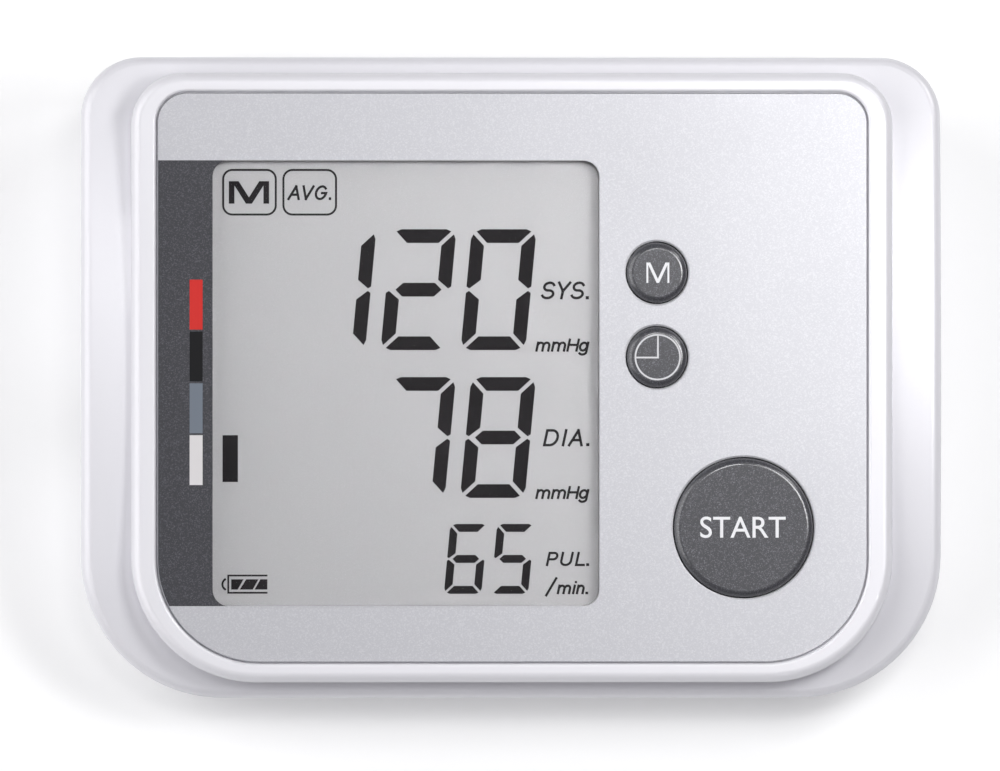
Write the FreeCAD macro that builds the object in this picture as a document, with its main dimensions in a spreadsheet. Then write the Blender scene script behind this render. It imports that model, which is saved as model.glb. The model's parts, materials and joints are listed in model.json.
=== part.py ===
"""Tabletop upper-arm blood pressure monitor: a wedge casing whose face is tilted to the user.

Two frames are used. In the base frame +X points to the user's right, +Y to the rear and +Z up, with
the origin on the table under the middle of the part. The face frame lies in the top plane of the
bezel: +X to the right, +Y up the face and +Z out of it, turned about X by the tilt of the face.
"""
import FreeCAD, Part
import math
import os
from types import SimpleNamespace

import Sketcher
from FreeCAD import Placement, Rotation, Vector

# Driving dimensions: lengths in millimetres, and one angle, the tilt, in degrees
SIZES = {
    # Casing
    "casing_width": 152.0,
    "casing_depth": 113.3,
    "casing_front_round": 25.0,
    "casing_rear_round": 10.6,
    "casing_wall": 2.2,
    "floor_thickness": 2.2,
    "face_tilt": 10.0,
    "parting_depth": 14.0,
    "flank_depth": 2.6,
    "flank_drop": 5.5,
    "edge_round": 1.8,
    "base_round": 2.5,
    "lip_height": 1.5,
    "lip_gap": 0.1,
    "seam_depth": 0.4,
    "seam_height": 0.5,
    "foot_stand": 1.2,
    "overrun": 1.0,
    # Bezel and face panel
    "flank_side": 8.8,
    "flank_end": 2.9,
    "bezel_front_round": 22.0,
    "bezel_rear_round": 9.2,
    "bezel_round": 1.7,
    "bezel_inner_round": 0.5,
    "rim_side": 4.3,
    "rim_end": 3.3,
    "panel_front_round": 18.3,
    "panel_rear_round": 5.5,
    "panel_recess": 0.5,
    "panel_thickness": 1.0,
    "panel_gap": 0.2,
    "panel_chamfer": 0.2,
    "strip_thickness": 0.2,
    "deck_thickness": 1.8,
    # Display
    "strip_width": 10.0,
    "controls_width": 47.5,
    "window_front_margin": 10.15,
    "window_rear_margin": 12.15,
    "window_round": 2.9,
    "glass_margin": 1.5,
    "lens_thickness": 1.0,
    "lens_gap": 0.1,
    "glass_thickness": 2.8,
    "frame_wall": 1.0,
    "frame_gap": 0.15,
    "zebra_width": 2.0,
    "zebra_inset": 1.0,
    # Circuit board and what is soldered to it
    "board_edge": 1.0,
    "board_thickness": 1.6,
    "board_standoff": 2.7,
    "board_boss_gap": 0.8,
    "board_head_room": 1.5,
    "board_hole_radius": 1.1,
    "post_side_inset": 2.3,
    "post_front_inset": 3.0,
    "post_rear_inset": 8.0,
    "post_radius": 2.0,
    "board_screw_radius": 0.9,
    "board_screw_bite": 4.0,
    "board_screw_head_radius": 1.9,
    "board_screw_head_height": 1.4,
    "screw_gap": 0.05,
    "chip_side": 14.0,
    "chip_height": 1.6,
    "chip_x": -8.0,
    "chip_inset": 14.0,
    "buzzer_radius": 6.0,
    "buzzer_height": 3.0,
    "buzzer_x": 28.0,
    "buzzer_inset": 14.0,
    "capacitor_radius": 2.5,
    "capacitor_height": 6.0,
    "capacitor_x": 6.0,
    "capacitor_inset": 24.0,
    "capacitor_pitch": 6.5,
    "plug_width": 8.0,
    "plug_depth": 5.0,
    "plug_height": 4.0,
    "pump_plug_offset": 18.8,
    "pump_plug_inset": 12.5,
    "cell_plug_gap": 2.6,
    "valve_plug_offset": 17.0,
    "valve_plug_inset": 15.7,
    "sensor_side": 8.0,
    "sensor_height": 4.0,
    # Push buttons and the rubber domes under them
    "start_side_inset": 22.1,
    "start_radius": 12.25,
    "start_round": 1.1,
    "start_stem_radius": 4.0,
    "key_side_gap": 0.65,
    "key_gap": 1.3,
    "key_radius": 5.3,
    "key_round": 1.1,
    "key_stem_radius": 2.4,
    "cap_proud": 1.1,
    "button_gap": 0.25,
    "hole_bevel_width": 0.3,
    "hole_bevel_depth": 0.1,
    "flange_margin": 1.5,
    "flange_thickness": 1.2,
    "flange_gap": 0.1,
    "dome_height": 2.7,
    "dome_gap": 0.1,
    "dome_flare": 2.0,
    "dome_wall": 0.6,
    "dome_roof": 0.8,
    # Casing screws, their bosses and the feet
    "boss_front_side_inset": 11.5,
    "boss_front_inset": 16.65,
    "boss_rear_side_inset": 14.5,
    "boss_rear_inset": 13.15,
    "boss_radius": 3.2,
    "boss_seat": 3.0,
    "well_wall": 0.8,
    "case_screw_radius": 1.5,
    "case_screw_bite": 6.5,
    "case_screw_head_radius": 2.7,
    "case_screw_head_height": 2.0,
    "pilot_spare": 0.5,
    "well_gap": 0.3,
    "foot_radius": 5.0,
    "foot_recess": 0.8,
    "foot_gap": 0.1,
    "foot_front_side_inset": 26.0,
    "foot_front_inset": 14.2,
    "foot_rear_side_inset": 24.0,
    "foot_rear_inset": 12.2,
    # Battery bay, its cells and its contacts
    "cell_radius": 7.25,
    "cell_length": 50.5,
    "cell_pitch": 15.0,
    "nub_radius": 2.75,
    "nub_length": 1.2,
    "bay_rear_inset": 8.2,
    "bay_gap": 0.3,
    "bay_wall": 1.8,
    "contact_thickness": 0.4,
    "contact_side": 10.0,
    "spring_space": 5.0,
    "spring_wire_radius": 0.35,
    "spring_base_radius": 4.0,
    "spring_tip_radius": 2.2,
    # Battery door
    "door_thickness": 2.0,
    "door_gap": 0.3,
    "door_clear": 0.2,
    "door_ledge": 1.0,
    "hinge_offset": 4.0,
    "hinge_bead_radius": 1.5,
    "hinge_pin_radius": 0.8,
    "hinge_pin_length": 1.8,
    "hinge_fit": 0.05,
    "hinge_wall": 1.6,
    "tab_width": 16.0,
    "tab_length": 3.5,
    "tab_thickness": 1.4,
    # Air pump
    "pump_side_gap": 0.5,
    "pump_rear_inset": 9.2,
    "pump_radius": 10.0,
    "pump_head_length": 18.0,
    "pump_chamber_radius": 7.5,
    "pump_chamber_length": 12.0,
    "motor_length": 26.0,
    "motor_wall": 1.2,
    "armature_radius": 7.0,
    "armature_length": 15.0,
    "shaft_radius": 1.0,
    "shaft_fit": 0.05,
    "shaft_end_gap": 0.4,
    "eccentric_radius": 4.0,
    "eccentric_length": 3.0,
    "eccentric_throw": 0.8,
    "cradle_inset": 6.0,
    "cradle_length": 28.0,
    "cradle_base": 1.2,
    "cradle_gap": 0.1,
    "cradle_wing": 4.4,
    "strap_thickness": 1.1,
    "strap_width": 8.0,
    "strap_screw_radius": 0.9,
    "strap_screw_length": 6.0,
    "strap_screw_head_radius": 1.5,
    "strap_screw_head_height": 1.2,
    # Air line: release valve, manifold, socket and hoses
    "air_side_gap": 8.4,
    "nozzle_meet_gap": 1.1,
    "nozzle_radius": 1.7,
    "nozzle_bore_radius": 0.9,
    "nozzle_length": 4.5,
    "short_nozzle_length": 1.4,
    "hose_wall": 1.0,
    "hose_gap": 0.05,
    "hose_end_gap": 0.3,
    "sensor_hose_gap": 0.5,
    "hose_descent": 36.0,
    "hose_block_gap": 1.5,
    "valve_hose_length": 10.0,
    "manifold_side": 8.0,
    "manifold_chamber": 4.0,
    "manifold_seat_inset": 0.8,
    "valve_inset": 18.3,
    "valve_length": 20.0,
    "valve_width": 13.0,
    "valve_height": 13.0,
    "plunger_radius": 2.5,
    "plunger_length": 14.0,
    "plunger_proud": 2.0,
    "plunger_stroke": 1.0,
    "plunger_fit": 0.05,
    "socket_set_in": 0.5,
    "socket_radius": 5.8,
    "socket_length": 13.5,
    "socket_bore_radius": 3.2,
    "socket_bore_depth": 9.0,
    "socket_ear_span": 15.6,
    "socket_ear_height": 6.0,
    "socket_ear_length": 1.5,
    "wall_hole_gap": 0.15,
    # Mains adapter jack
    "jack_side_gap": 8.65,
    "jack_height": 12.0,
    "jack_set_in": 0.3,
    "jack_radius": 4.2,
    "jack_bore_radius": 2.85,
    "jack_bore_depth": 9.0,
    "jack_pin_radius": 1.05,
    "jack_pin_length": 8.0,
    "jack_collar_length": 3.0,
    "jack_housing_side": 10.5,
    "jack_housing_length": 9.0,
    # Wires inside
    "wire_radius": 0.6,
    "wire_pitch": 2.5,
    "wire_rise": 12.0,
    "tag_length": 3.0,
    "tag_radius": 0.6,
    "tag_gap": 0.2,
}
CELL_COUNT = 4
CAPACITOR_COUNT = 2
SPRING_TURNS = 3.5
ARCS_PER_TURN = 4
# Places of the upper key and the start button, as shares of the panel's depth from its middle
MEMORY_PLACE_SHARE = 0.1833
START_PLACE_SHARE = -0.2626
# Share of the edge rounding that lies between the flank's end and the foremost point of the casing
RIM_SHARE = 0.85
# Share of the shorter run that a tube's bend may take up
BEND_SHARE = 0.45
# Share of a coil's turns over which its direction is taken
COIL_STEP_SHARE = 0.001
# Share of a tube's volume by which it may differ from its section times its length
VOLUME_SHARE = 0.01
# Lengths closer than this count as the same
SAME_LENGTH = 10 * Part.Precision.confusion()


class Size:
    """A number together with the sheet expression that gives it, so that one sum serves both."""

    def __init__(self, value, text):
        self.value = value
        self.text = text

    def __float__(self):
        return self.value

    def __neg__(self):
        return Size(-self.value, f"(0 - {self.text})")

    def __add__(self, other):
        other = as_size(other)
        return Size(self.value + other.value, f"({self.text} + {other.text})")

    def __sub__(self, other):
        other = as_size(other)
        return Size(self.value - other.value, f"({self.text} - {other.text})")

    def __mul__(self, other):
        other = as_size(other)
        return Size(self.value * other.value, f"({self.text} * {other.text})")

    def __truediv__(self, other):
        other = as_size(other)
        return Size(self.value / other.value, f"({self.text} / {other.text})")

    def __radd__(self, other):
        return as_size(other) + self

    def __rsub__(self, other):
        return as_size(other) - self

    def __rmul__(self, other):
        return as_size(other) * self


def as_size(amount):
    """The amount as a Size, whether it came from the sheet or is a plain count."""
    if isinstance(amount, Size):
        return amount
    return Size(float(amount), repr(float(amount)))


doc = FreeCAD.newDocument("blood_pressure_monitor")
sheet = doc.addObject("Spreadsheet::Sheet", "Sizes")
for row, (alias, number) in enumerate(SIZES.items(), 1):
    sheet.set(f"A{row}", alias)
    sheet.set(f"B{row}", str(number))
    sheet.setAlias(f"B{row}", alias)
doc.recompute()
s = SimpleNamespace(**{alias: Size(float(sheet.get(alias)), f"Sizes.{alias}") for alias in SIZES})
nodes = []

# Levels in the face frame, from the bezel's top downwards
panel_top = -s.panel_recess
deck_top = panel_top - s.panel_thickness
deck_bottom = deck_top - s.deck_thickness
lens_bottom = deck_bottom - s.lens_thickness
glass_top = lens_bottom - s.lens_gap
glass_bottom = glass_top - s.glass_thickness
board_top = glass_bottom - s.board_standoff
board_bottom = board_top - s.board_thickness
plug_level = board_bottom - s.plug_height / 2
parting = -s.parting_depth
flange_top = deck_bottom - s.flange_gap
flange_bottom = flange_top - s.flange_thickness
dome_top = board_top + s.dome_height
arch_radius = (
    s.casing_depth * s.casing_depth / 4 + s.flank_drop * s.flank_drop
) / (2 * s.flank_drop)

# Outlines on the face: the panel is what the flanks and the rim leave of the casing
bezel_width = s.casing_width - 2 * s.flank_side
bezel_depth = s.casing_depth - 2 * s.flank_end
panel_width = bezel_width - 2 * s.rim_side
panel_depth = bezel_depth - 2 * s.rim_end
window_width = panel_width - s.strip_width - s.controls_width
window_depth = panel_depth - s.window_front_margin - s.window_rear_margin
window_x = (s.strip_width - s.controls_width) / 2
window_y = (s.window_front_margin - s.window_rear_margin) / 2
frame_margin = s.glass_margin + s.frame_gap + s.frame_wall

# Places on the face
key_flange = s.key_radius + s.flange_margin
key_x = window_x + window_width / 2 + frame_margin + s.key_side_gap + key_flange
memory_y = MEMORY_PLACE_SHARE * panel_depth
clock_y = memory_y - 2 * key_flange - s.key_gap
start_x = panel_width / 2 - s.start_side_inset
start_y = START_PLACE_SHARE * panel_depth
boss_front_x = s.casing_width / 2 - s.boss_front_side_inset
boss_front_y = s.boss_front_inset - s.casing_depth / 2
boss_rear_x = s.casing_width / 2 - s.boss_rear_side_inset
boss_rear_y = s.casing_depth / 2 - s.boss_rear_inset
board_half = boss_front_x - s.boss_radius - s.board_boss_gap
board_front = window_y - window_depth / 2 - frame_margin - s.board_edge
board_rear = window_y + window_depth / 2 + frame_margin + s.board_edge
post_x = board_half - s.post_side_inset
screw_places = [
    (boss_front_x, boss_front_y),
    (-boss_front_x, boss_front_y),
    (boss_rear_x, boss_rear_y),
    (-boss_rear_x, boss_rear_y),
]
post_places = [
    (post_x, board_front + s.post_front_inset),
    (-post_x, board_front + s.post_front_inset),
    (post_x, board_rear - s.post_rear_inset),
    (-post_x, board_rear - s.post_rear_inset),
]
button_places = [
    (start_x, start_y, s.start_radius),
    (key_x, memory_y, s.key_radius),
    (key_x, clock_y, s.key_radius),
]

# Where the face frame stands in the base frame: the casing is centred over the origin
tilt_cos = Size(math.cos(math.radians(s.face_tilt.value)), f"cos({s.face_tilt.text})")
tilt_sin = Size(math.sin(math.radians(s.face_tilt.value)), f"sin({s.face_tilt.text})")
rim_depth = s.flank_depth + s.flank_drop + RIM_SHARE * s.edge_round
front_reach = (s.casing_depth / 2 - s.edge_round) * tilt_cos - rim_depth * tilt_sin + s.edge_round
rear_reach = s.casing_depth / 2 * tilt_cos + s.parting_depth * tilt_sin
face_y = (front_reach - rear_reach) / 2
rear_y = face_y + rear_reach


def face_v(y, level):
    """How far up the face a point of one level lies, if its place along the base is given."""
    return (y - face_y + level * tilt_sin) / tilt_cos


# Places along the base
base_z = s.foot_stand
floor_z = base_z + s.floor_thickness
door_top = base_z + s.door_thickness
bay_width = CELL_COUNT * s.cell_pitch + 2 * s.bay_gap
bay_length = s.cell_length + s.spring_space + 2 * s.contact_thickness
bay_rear_y = rear_y - s.bay_rear_inset
bay_front_y = bay_rear_y - bay_length
bay_roof = door_top + 2 * s.cell_radius + 2 * s.bay_gap
bay_side = bay_width / 2 + s.bay_wall
cell_z = door_top + s.bay_gap + s.cell_radius
cell_tag_y = bay_front_y - s.bay_wall - s.tag_length
hinge_y = bay_front_y - s.hinge_offset
hinge_z = base_z + s.hinge_bead_radius
groove_radius = s.hinge_bead_radius + s.door_gap
hinge_block_y = hinge_y - groove_radius - s.hinge_wall
trough_radius = s.pump_radius + s.cradle_gap
strap_screw_x = trough_radius + s.strap_thickness + s.strap_screw_head_radius
cradle_half = trough_radius + s.cradle_wing
pump_x = bay_side + s.pump_side_gap + cradle_half
pump_front_y = rear_y - s.pump_rear_inset - s.motor_length - s.pump_head_length
pump_z = floor_z + s.cradle_base + trough_radius
motor_y = pump_front_y + s.pump_head_length
air_x = -(bay_side + s.air_side_gap + s.valve_width / 2)
hose_radius = s.nozzle_radius + s.hose_gap + s.hose_wall
hose_y = hinge_block_y - s.hose_block_gap - hose_radius
valve_front_y = bay_front_y + s.valve_inset
manifold_y = valve_front_y - s.valve_hose_length - 2 * s.hose_end_gap - s.manifold_side / 2
jack_x = -(bay_side + s.jack_side_gap + s.jack_housing_side / 2)
jack_front_y = rear_y - s.jack_set_in - s.jack_collar_length - s.jack_housing_length
foot_places = [
    (s.casing_width / 2 - s.foot_front_side_inset, s.foot_front_inset - rear_y),
    (s.foot_front_side_inset - s.casing_width / 2, s.foot_front_inset - rear_y),
    (s.casing_width / 2 - s.foot_rear_side_inset, rear_y - s.foot_rear_inset),
    (s.foot_rear_side_inset - s.casing_width / 2, rear_y - s.foot_rear_inset),
]

# Heights: the board clears the front of the pump, and the face stands above the board
pump_top = pump_z + s.pump_radius
face_height = (
    pump_top + s.board_head_room - face_v(pump_front_y, board_bottom) * tilt_sin - board_bottom * tilt_cos
)
lower_reach = (
    face_height + s.casing_depth / 2 * tilt_sin - s.parting_depth * tilt_cos - base_z
) / tilt_cos
sensor_tip = board_bottom - s.sensor_height - s.short_nozzle_length
sensor_y = face_v(manifold_y, sensor_tip)
air_height = (
    face_height + sensor_y * tilt_sin + sensor_tip * tilt_cos
    - s.nozzle_meet_gap - s.short_nozzle_length - s.manifold_side / 2
)
pump_plug = (pump_x - s.pump_plug_offset, face_v(motor_y + s.motor_length - s.pump_plug_inset, plug_level))
cell_plug = (as_size(0), face_v(cell_tag_y - s.cell_plug_gap, plug_level))
valve_plug = (air_x + s.valve_plug_offset, face_v(valve_front_y + s.valve_plug_inset, plug_level))
chip_y = face_v(bay_front_y + s.chip_inset, board_bottom)
buzzer_y = face_v(bay_front_y + s.buzzer_inset, board_bottom)
capacitor_y = face_v(bay_front_y + s.capacitor_inset, board_bottom)


def on_face(u, v, w):
    """The base-frame place of a point of the face frame."""
    return (
        as_size(u),
        face_y + v * tilt_cos - w * tilt_sin,
        face_height + v * tilt_sin + w * tilt_cos,
    )


def point(place):
    """A vector from three sizes."""
    return Vector(*(as_size(amount).value for amount in place))


def bind(obj, prop, amount):
    """Binds a property to the sheet."""
    obj.setExpression(prop, as_size(amount).text)


def put(obj, place, turn=None):
    """Places an object, turned first where a turn is given."""
    obj.Placement = Placement(point(place), turn or Rotation())
    for axis, amount in zip("xyz", place):
        bind(obj, f"Placement.Base.{axis}", amount)
    return obj


def lie_on_face(obj):
    """Moves an object that was drawn in the face frame to its place on the part."""
    put(obj, (0, face_y, face_height), Rotation(Vector(1, 0, 0), s.face_tilt.value))
    bind(obj, "Placement.Rotation.Angle", s.face_tilt)
    return obj


def keep(obj, label, tilted=False):
    """Makes an object a sub-part under its own name."""
    obj.Label = label
    if tilted:
        lie_on_face(obj)
    nodes.append(obj)
    return obj


def block(lengths, place):
    """A box whose bottom face has its middle at the place."""
    box = doc.addObject("Part::Box", "Block")
    for prop, length in zip(("Length", "Width", "Height"), lengths):
        bind(box, prop, length)
    x, y, z = place
    return put(box, (x - lengths[0] / 2, y - lengths[1] / 2, z))


def span(low, high):
    """A box between two corners."""
    lengths = [top - bottom for bottom, top in zip(low, high)]
    middle = ((low[0] + high[0]) / 2, (low[1] + high[1]) / 2, low[2])
    return block(lengths, middle)


TURNS = {
    "z": Rotation(),
    "x": Rotation(Vector(0, 1, 0), 90),
    "y": Rotation(Vector(1, 0, 0), -90),
}


def rod(radius, length, place, along="z"):
    """A cylinder that starts at the place and runs along an axis."""
    cylinder = doc.addObject("Part::Cylinder", "Rod")
    bind(cylinder, "Radius", radius)
    bind(cylinder, "Height", length)
    return put(cylinder, place, TURNS[along])


def cone(bottom_radius, top_radius, length, place):
    """A cone that stands on the place."""
    shape = doc.addObject("Part::Cone", "Cone")
    bind(shape, "Radius1", bottom_radius)
    bind(shape, "Radius2", top_radius)
    bind(shape, "Height", length)
    return put(shape, place)


def fuse(*pieces):
    """One solid, or one group, of several pieces."""
    if len(pieces) == 1:
        return pieces[0]
    joined = doc.addObject("Part::MultiFuse", "Fuse")
    joined.Shapes = list(pieces)
    joined.Refine = True
    return joined


def group(*pieces):
    """Separate solids that share one sub-part."""
    together = doc.addObject("Part::Compound", "Group")
    together.Links = list(pieces)
    return together


def cut(base, *tools):
    """The base without the tools."""
    rest = doc.addObject("Part::Cut", "Cut")
    rest.Base = base
    rest.Tool = fuse(*tools)
    rest.Refine = True
    return rest


def common(first, second):
    """What two shapes share."""
    shared = doc.addObject("Part::Common", "Common")
    shared.Base = first
    shared.Tool = second
    return shared


def round_faces(base, radius, chosen):
    """Rounds every edge of the faces that a test chooses."""
    doc.recompute()
    ring = [edge for face in base.Shape.Faces if chosen(face) for edge in face.Edges]
    numbers = [
        number
        for number, edge in enumerate(base.Shape.Edges, 1)
        if any(edge.isSame(other) for other in ring)
    ]
    rounded = doc.addObject("Part::Fillet", "Fillet")
    rounded.Base = base
    rounded.Edges = [(number, radius.value, radius.value) for number in numbers]
    return rounded


def new_sketch(body, level):
    """A sketch on a body's own XY plane, lifted to a level."""
    sketch = body.newObject("Sketcher::SketchObject", "Sketch")
    plane = next(item for item in body.Origin.OriginFeatures if item.Role == "XY_Plane")
    sketch.AttachmentSupport = [(plane, "")]
    sketch.MapMode = "FlatFace"
    bind(sketch, "AttachmentOffset.Base.z", level)
    return sketch


def constrain(sketch, kind, *places, amount):
    """A dimension of a sketch, bound to the sheet."""
    number = sketch.addConstraint(Sketcher.Constraint(kind, *places, as_size(amount).value))
    bind(sketch, f"Constraints[{number}]", amount)


def outline_sketch(body, level, outline):
    """A rectangle with one rounding at its two front corners and another at its two rear ones."""
    left, right, front, rear, front_round, rear_round = outline
    x0, x1, y0, y1 = left.value, right.value, front.value, rear.value
    low, high = front_round.value, rear_round.value
    sketch = new_sketch(body, level)
    up = Vector(0, 0, 1)

    def corner(x, y, radius, quarter):
        circle = Part.Circle(Vector(x, y, 0), up, radius)
        start = quarter * math.pi / 2
        return Part.ArcOfCircle(circle, start, start + math.pi / 2)

    def side(xa, ya, xb, yb):
        return Part.LineSegment(Vector(xa, ya, 0), Vector(xb, yb, 0))

    sketch.addGeometry(
        [
            side(x0 + low, y0, x1 - low, y0),
            corner(x1 - low, y0 + low, low, 3),
            side(x1, y0 + low, x1, y1 - high),
            corner(x1 - high, y1 - high, high, 0),
            side(x1 - high, y1, x0 + high, y1),
            corner(x0 + high, y1 - high, high, 1),
            side(x0, y1 - high, x0, y0 + low),
            corner(x0 + low, y0 + low, low, 2),
        ],
        False,
    )
    for piece in range(8):
        sketch.addConstraint(Sketcher.Constraint("Tangent", piece, 2, (piece + 1) % 8, 1))
    for piece, direction in ((0, "Horizontal"), (2, "Vertical"), (4, "Horizontal"), (6, "Vertical")):
        sketch.addConstraint(Sketcher.Constraint(direction, piece))
    for piece, amount in ((1, front_round), (3, rear_round), (5, rear_round), (7, front_round)):
        constrain(sketch, "Radius", piece, amount=amount)
    constrain(sketch, "DistanceX", -1, 1, 6, 1, amount=left)
    constrain(sketch, "DistanceX", -1, 1, 2, 1, amount=right)
    constrain(sketch, "DistanceY", -1, 1, 0, 1, amount=front)
    constrain(sketch, "DistanceY", -1, 1, 4, 1, amount=rear)
    return sketch


def circle_sketch(body, level, x, y, radius):
    """One circle at a place of the face."""
    sketch = new_sketch(body, level)
    sketch.addGeometry(Part.Circle(point((x, y, 0)), Vector(0, 0, 1), as_size(radius).value), False)
    constrain(sketch, "DistanceX", -1, 1, 0, 3, amount=x)
    constrain(sketch, "DistanceY", -1, 1, 0, 3, amount=y)
    constrain(sketch, "Radius", 0, amount=radius)
    return sketch


def pad(body, sketch, length, down=False, draft=None):
    """Raises a sketch, or sinks it, and draws its sides in where a draft is given."""
    feature = body.newObject("PartDesign::Pad", "Pad")
    feature.Profile = sketch
    feature.Reversed = down
    bind(feature, "Length", length)
    if draft is not None:
        bind(feature, "TaperAngle", -draft)
    return feature


def round_edges(body, feature, radius, chosen):
    """Rounds the edges of a feature that a test chooses."""
    doc.recompute()
    names = [f"Edge{i}" for i, edge in enumerate(feature.Shape.Edges, 1) if chosen(edge)]
    fillet = body.newObject("PartDesign::Fillet", "Fillet")
    fillet.Base = (feature, names)
    bind(fillet, "Radius", radius)
    return fillet


def flat_at(level):
    """A test for edges that lie in one level."""
    def test(edge):
        box = edge.BoundBox
        return max(abs(box.ZMin - level.value), abs(box.ZMax - level.value)) < SAME_LENGTH
    return test


def plate(outline, bottom, top, down=False, draft=None):
    """A rounded plate between two levels; a drafted one narrows downwards."""
    body = doc.addObject("PartDesign::Body", "Plate")
    sketch = outline_sketch(body, top if down else bottom, outline)
    pad(body, sketch, top - bottom, down, draft)
    return body


def outline(width, depth, front_round, rear_round, inset=0, x=0, y=0):
    """Left, right, front, rear, front rounding and rear rounding of an outline drawn in by an inset."""
    x, y = as_size(x), as_size(y)
    return (
        x - width / 2 + inset,
        x + width / 2 - inset,
        y - depth / 2 + inset,
        y + depth / 2 - inset,
        front_round - inset,
        rear_round - inset,
    )


def casing_outline(inset=0):
    return outline(s.casing_width, s.casing_depth, s.casing_front_round, s.casing_rear_round, inset)


def bezel_outline(inset=0):
    return outline(bezel_width, bezel_depth, s.bezel_front_round, s.bezel_rear_round, inset)


def panel_outline(inset=0):
    return outline(panel_width, panel_depth, s.panel_front_round, s.panel_rear_round, inset)


def window_outline(margin=0):
    return outline(
        window_width, window_depth, s.window_round, s.window_round,
        -as_size(margin), window_x, window_y,
    )


def window_hole():
    return plate(window_outline(), deck_bottom - s.overrun, s.overrun)


def button_holes():
    """The openings that the button caps move in, through panel and deck."""
    bottom = deck_bottom - s.overrun
    return [rod(r + s.button_gap, s.overrun - bottom, (x, y, bottom)) for x, y, r in button_places]


# Casing
def arch(inset):
    """A long cylinder under the crowned flank, drawn in by an inset."""
    length = s.casing_width + 2 * s.overrun
    return rod(arch_radius - inset, length, (-length / 2, 0, -s.flank_depth - arch_radius), "x")


def bezel_block():
    """The raised bezel with the recess that the face panel lies in."""
    body = doc.addObject("PartDesign::Body", "Bezel")
    raised = pad(body, outline_sketch(body, parting, bezel_outline()), s.parting_depth)
    rounded = round_edges(body, raised, s.bezel_round, flat_at(as_size(0)))
    recess = body.newObject("PartDesign::Pocket", "Recess")
    recess.Profile = outline_sketch(body, s.overrun, panel_outline())
    bind(recess, "Length", s.overrun - deck_top)
    doc.recompute()
    top = next(f for f in recess.Shape.Faces if flat_at(as_size(0))(f) and len(f.Wires) > 1)
    inner = [edge for wire in top.Wires if not wire.isSame(top.OuterWire) for edge in wire.Edges]
    round_edges(body, recess, s.bezel_inner_round, lambda edge: any(edge.isSame(e) for e in inner))
    assert recess.Shape.Volume < rounded.Shape.Volume
    return body


def upper_casing():
    """The top shell: crowned flank, bezel, deck, screw bosses and the posts for the board."""
    crowned = common(plate(casing_outline(), parting, as_size(0)), arch(0))
    flank = round_faces(
        crowned, s.edge_round,
        lambda face: isinstance(face.Surface, Part.Cylinder)
        and abs(face.Surface.Radius - arch_radius.value) < SAME_LENGTH,
    )
    envelope = fuse(flank, bezel_block())
    hollow = [
        common(plate(casing_outline(s.casing_wall), parting - s.overrun, as_size(0)), arch(s.casing_wall)),
        plate(bezel_outline(s.casing_wall), parting - s.overrun, deck_bottom),
        plate(
            casing_outline(s.casing_wall / 2 - s.lip_gap),
            parting - s.overrun,
            parting + s.lip_height + s.lip_gap,
        ),
    ]
    bosses = [rod(s.boss_radius, s.parting_depth, (x, y, parting)) for x, y in screw_places]
    posts = [rod(s.post_radius, deck_top - board_top, (x, y, board_top)) for x, y in post_places]
    shell = fuse(cut(envelope, *hollow), common(fuse(*bosses, *posts), envelope))
    pilots = [
        rod(
            s.case_screw_radius + s.screw_gap,
            s.case_screw_bite + s.pilot_spare + s.overrun,
            (x, y, parting - s.overrun),
        )
        for x, y in screw_places
    ]
    board_pilots = [
        rod(
            s.board_screw_radius + s.screw_gap,
            s.board_screw_bite + s.pilot_spare + s.overrun,
            (x, y, board_top - s.overrun),
        )
        for x, y in post_places
    ]
    keep(cut(shell, window_hole(), *button_holes(), *pilots, *board_pilots), "upper_casing", tilted=True)


def screw_wells():
    """Holes for the casing screws, with a well below each that takes the head, along the face's normal."""
    bottom = parting - lower_reach - s.overrun
    seat = parting - s.boss_seat
    radius = s.case_screw_head_radius + s.well_gap
    wells = [rod(radius, seat - bottom, (x, y, bottom)) for x, y in screw_places]
    hole = s.case_screw_radius + s.screw_gap
    holes = [rod(hole, s.boss_seat + 2 * s.overrun, (x, y, seat - s.overrun)) for x, y in screw_places]
    return lie_on_face(fuse(*wells, *holes))


def bay_inside():
    return span(
        (-bay_width / 2, bay_front_y, base_z - s.overrun),
        (bay_width / 2, bay_rear_y, bay_roof),
    )


def door_opening():
    """The door's opening, the groove for its hinge bead, the bores for its pins and the tab's pocket."""
    half = bay_width / 2 + s.door_ledge
    below = base_z - s.overrun
    rear = bay_rear_y + s.door_ledge
    bore_length = 2 * (half + s.hinge_pin_length + s.door_clear)
    return [
        span((-half, hinge_y, below), (half, rear, door_top + s.door_clear)),
        span((-half, hinge_y - groove_radius, below), (half, hinge_y, hinge_z)),
        rod(groove_radius, 2 * half, (-half, hinge_y, hinge_z), "x"),
        rod(s.hinge_pin_radius + s.hinge_fit, bore_length, (-bore_length / 2, hinge_y, hinge_z), "x"),
        span(
            (-s.tab_width / 2 - s.door_gap, rear - s.overrun, below),
            (s.tab_width / 2 + s.door_gap, rear + s.tab_length, base_z + s.tab_thickness + s.door_clear),
        ),
    ]


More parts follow.
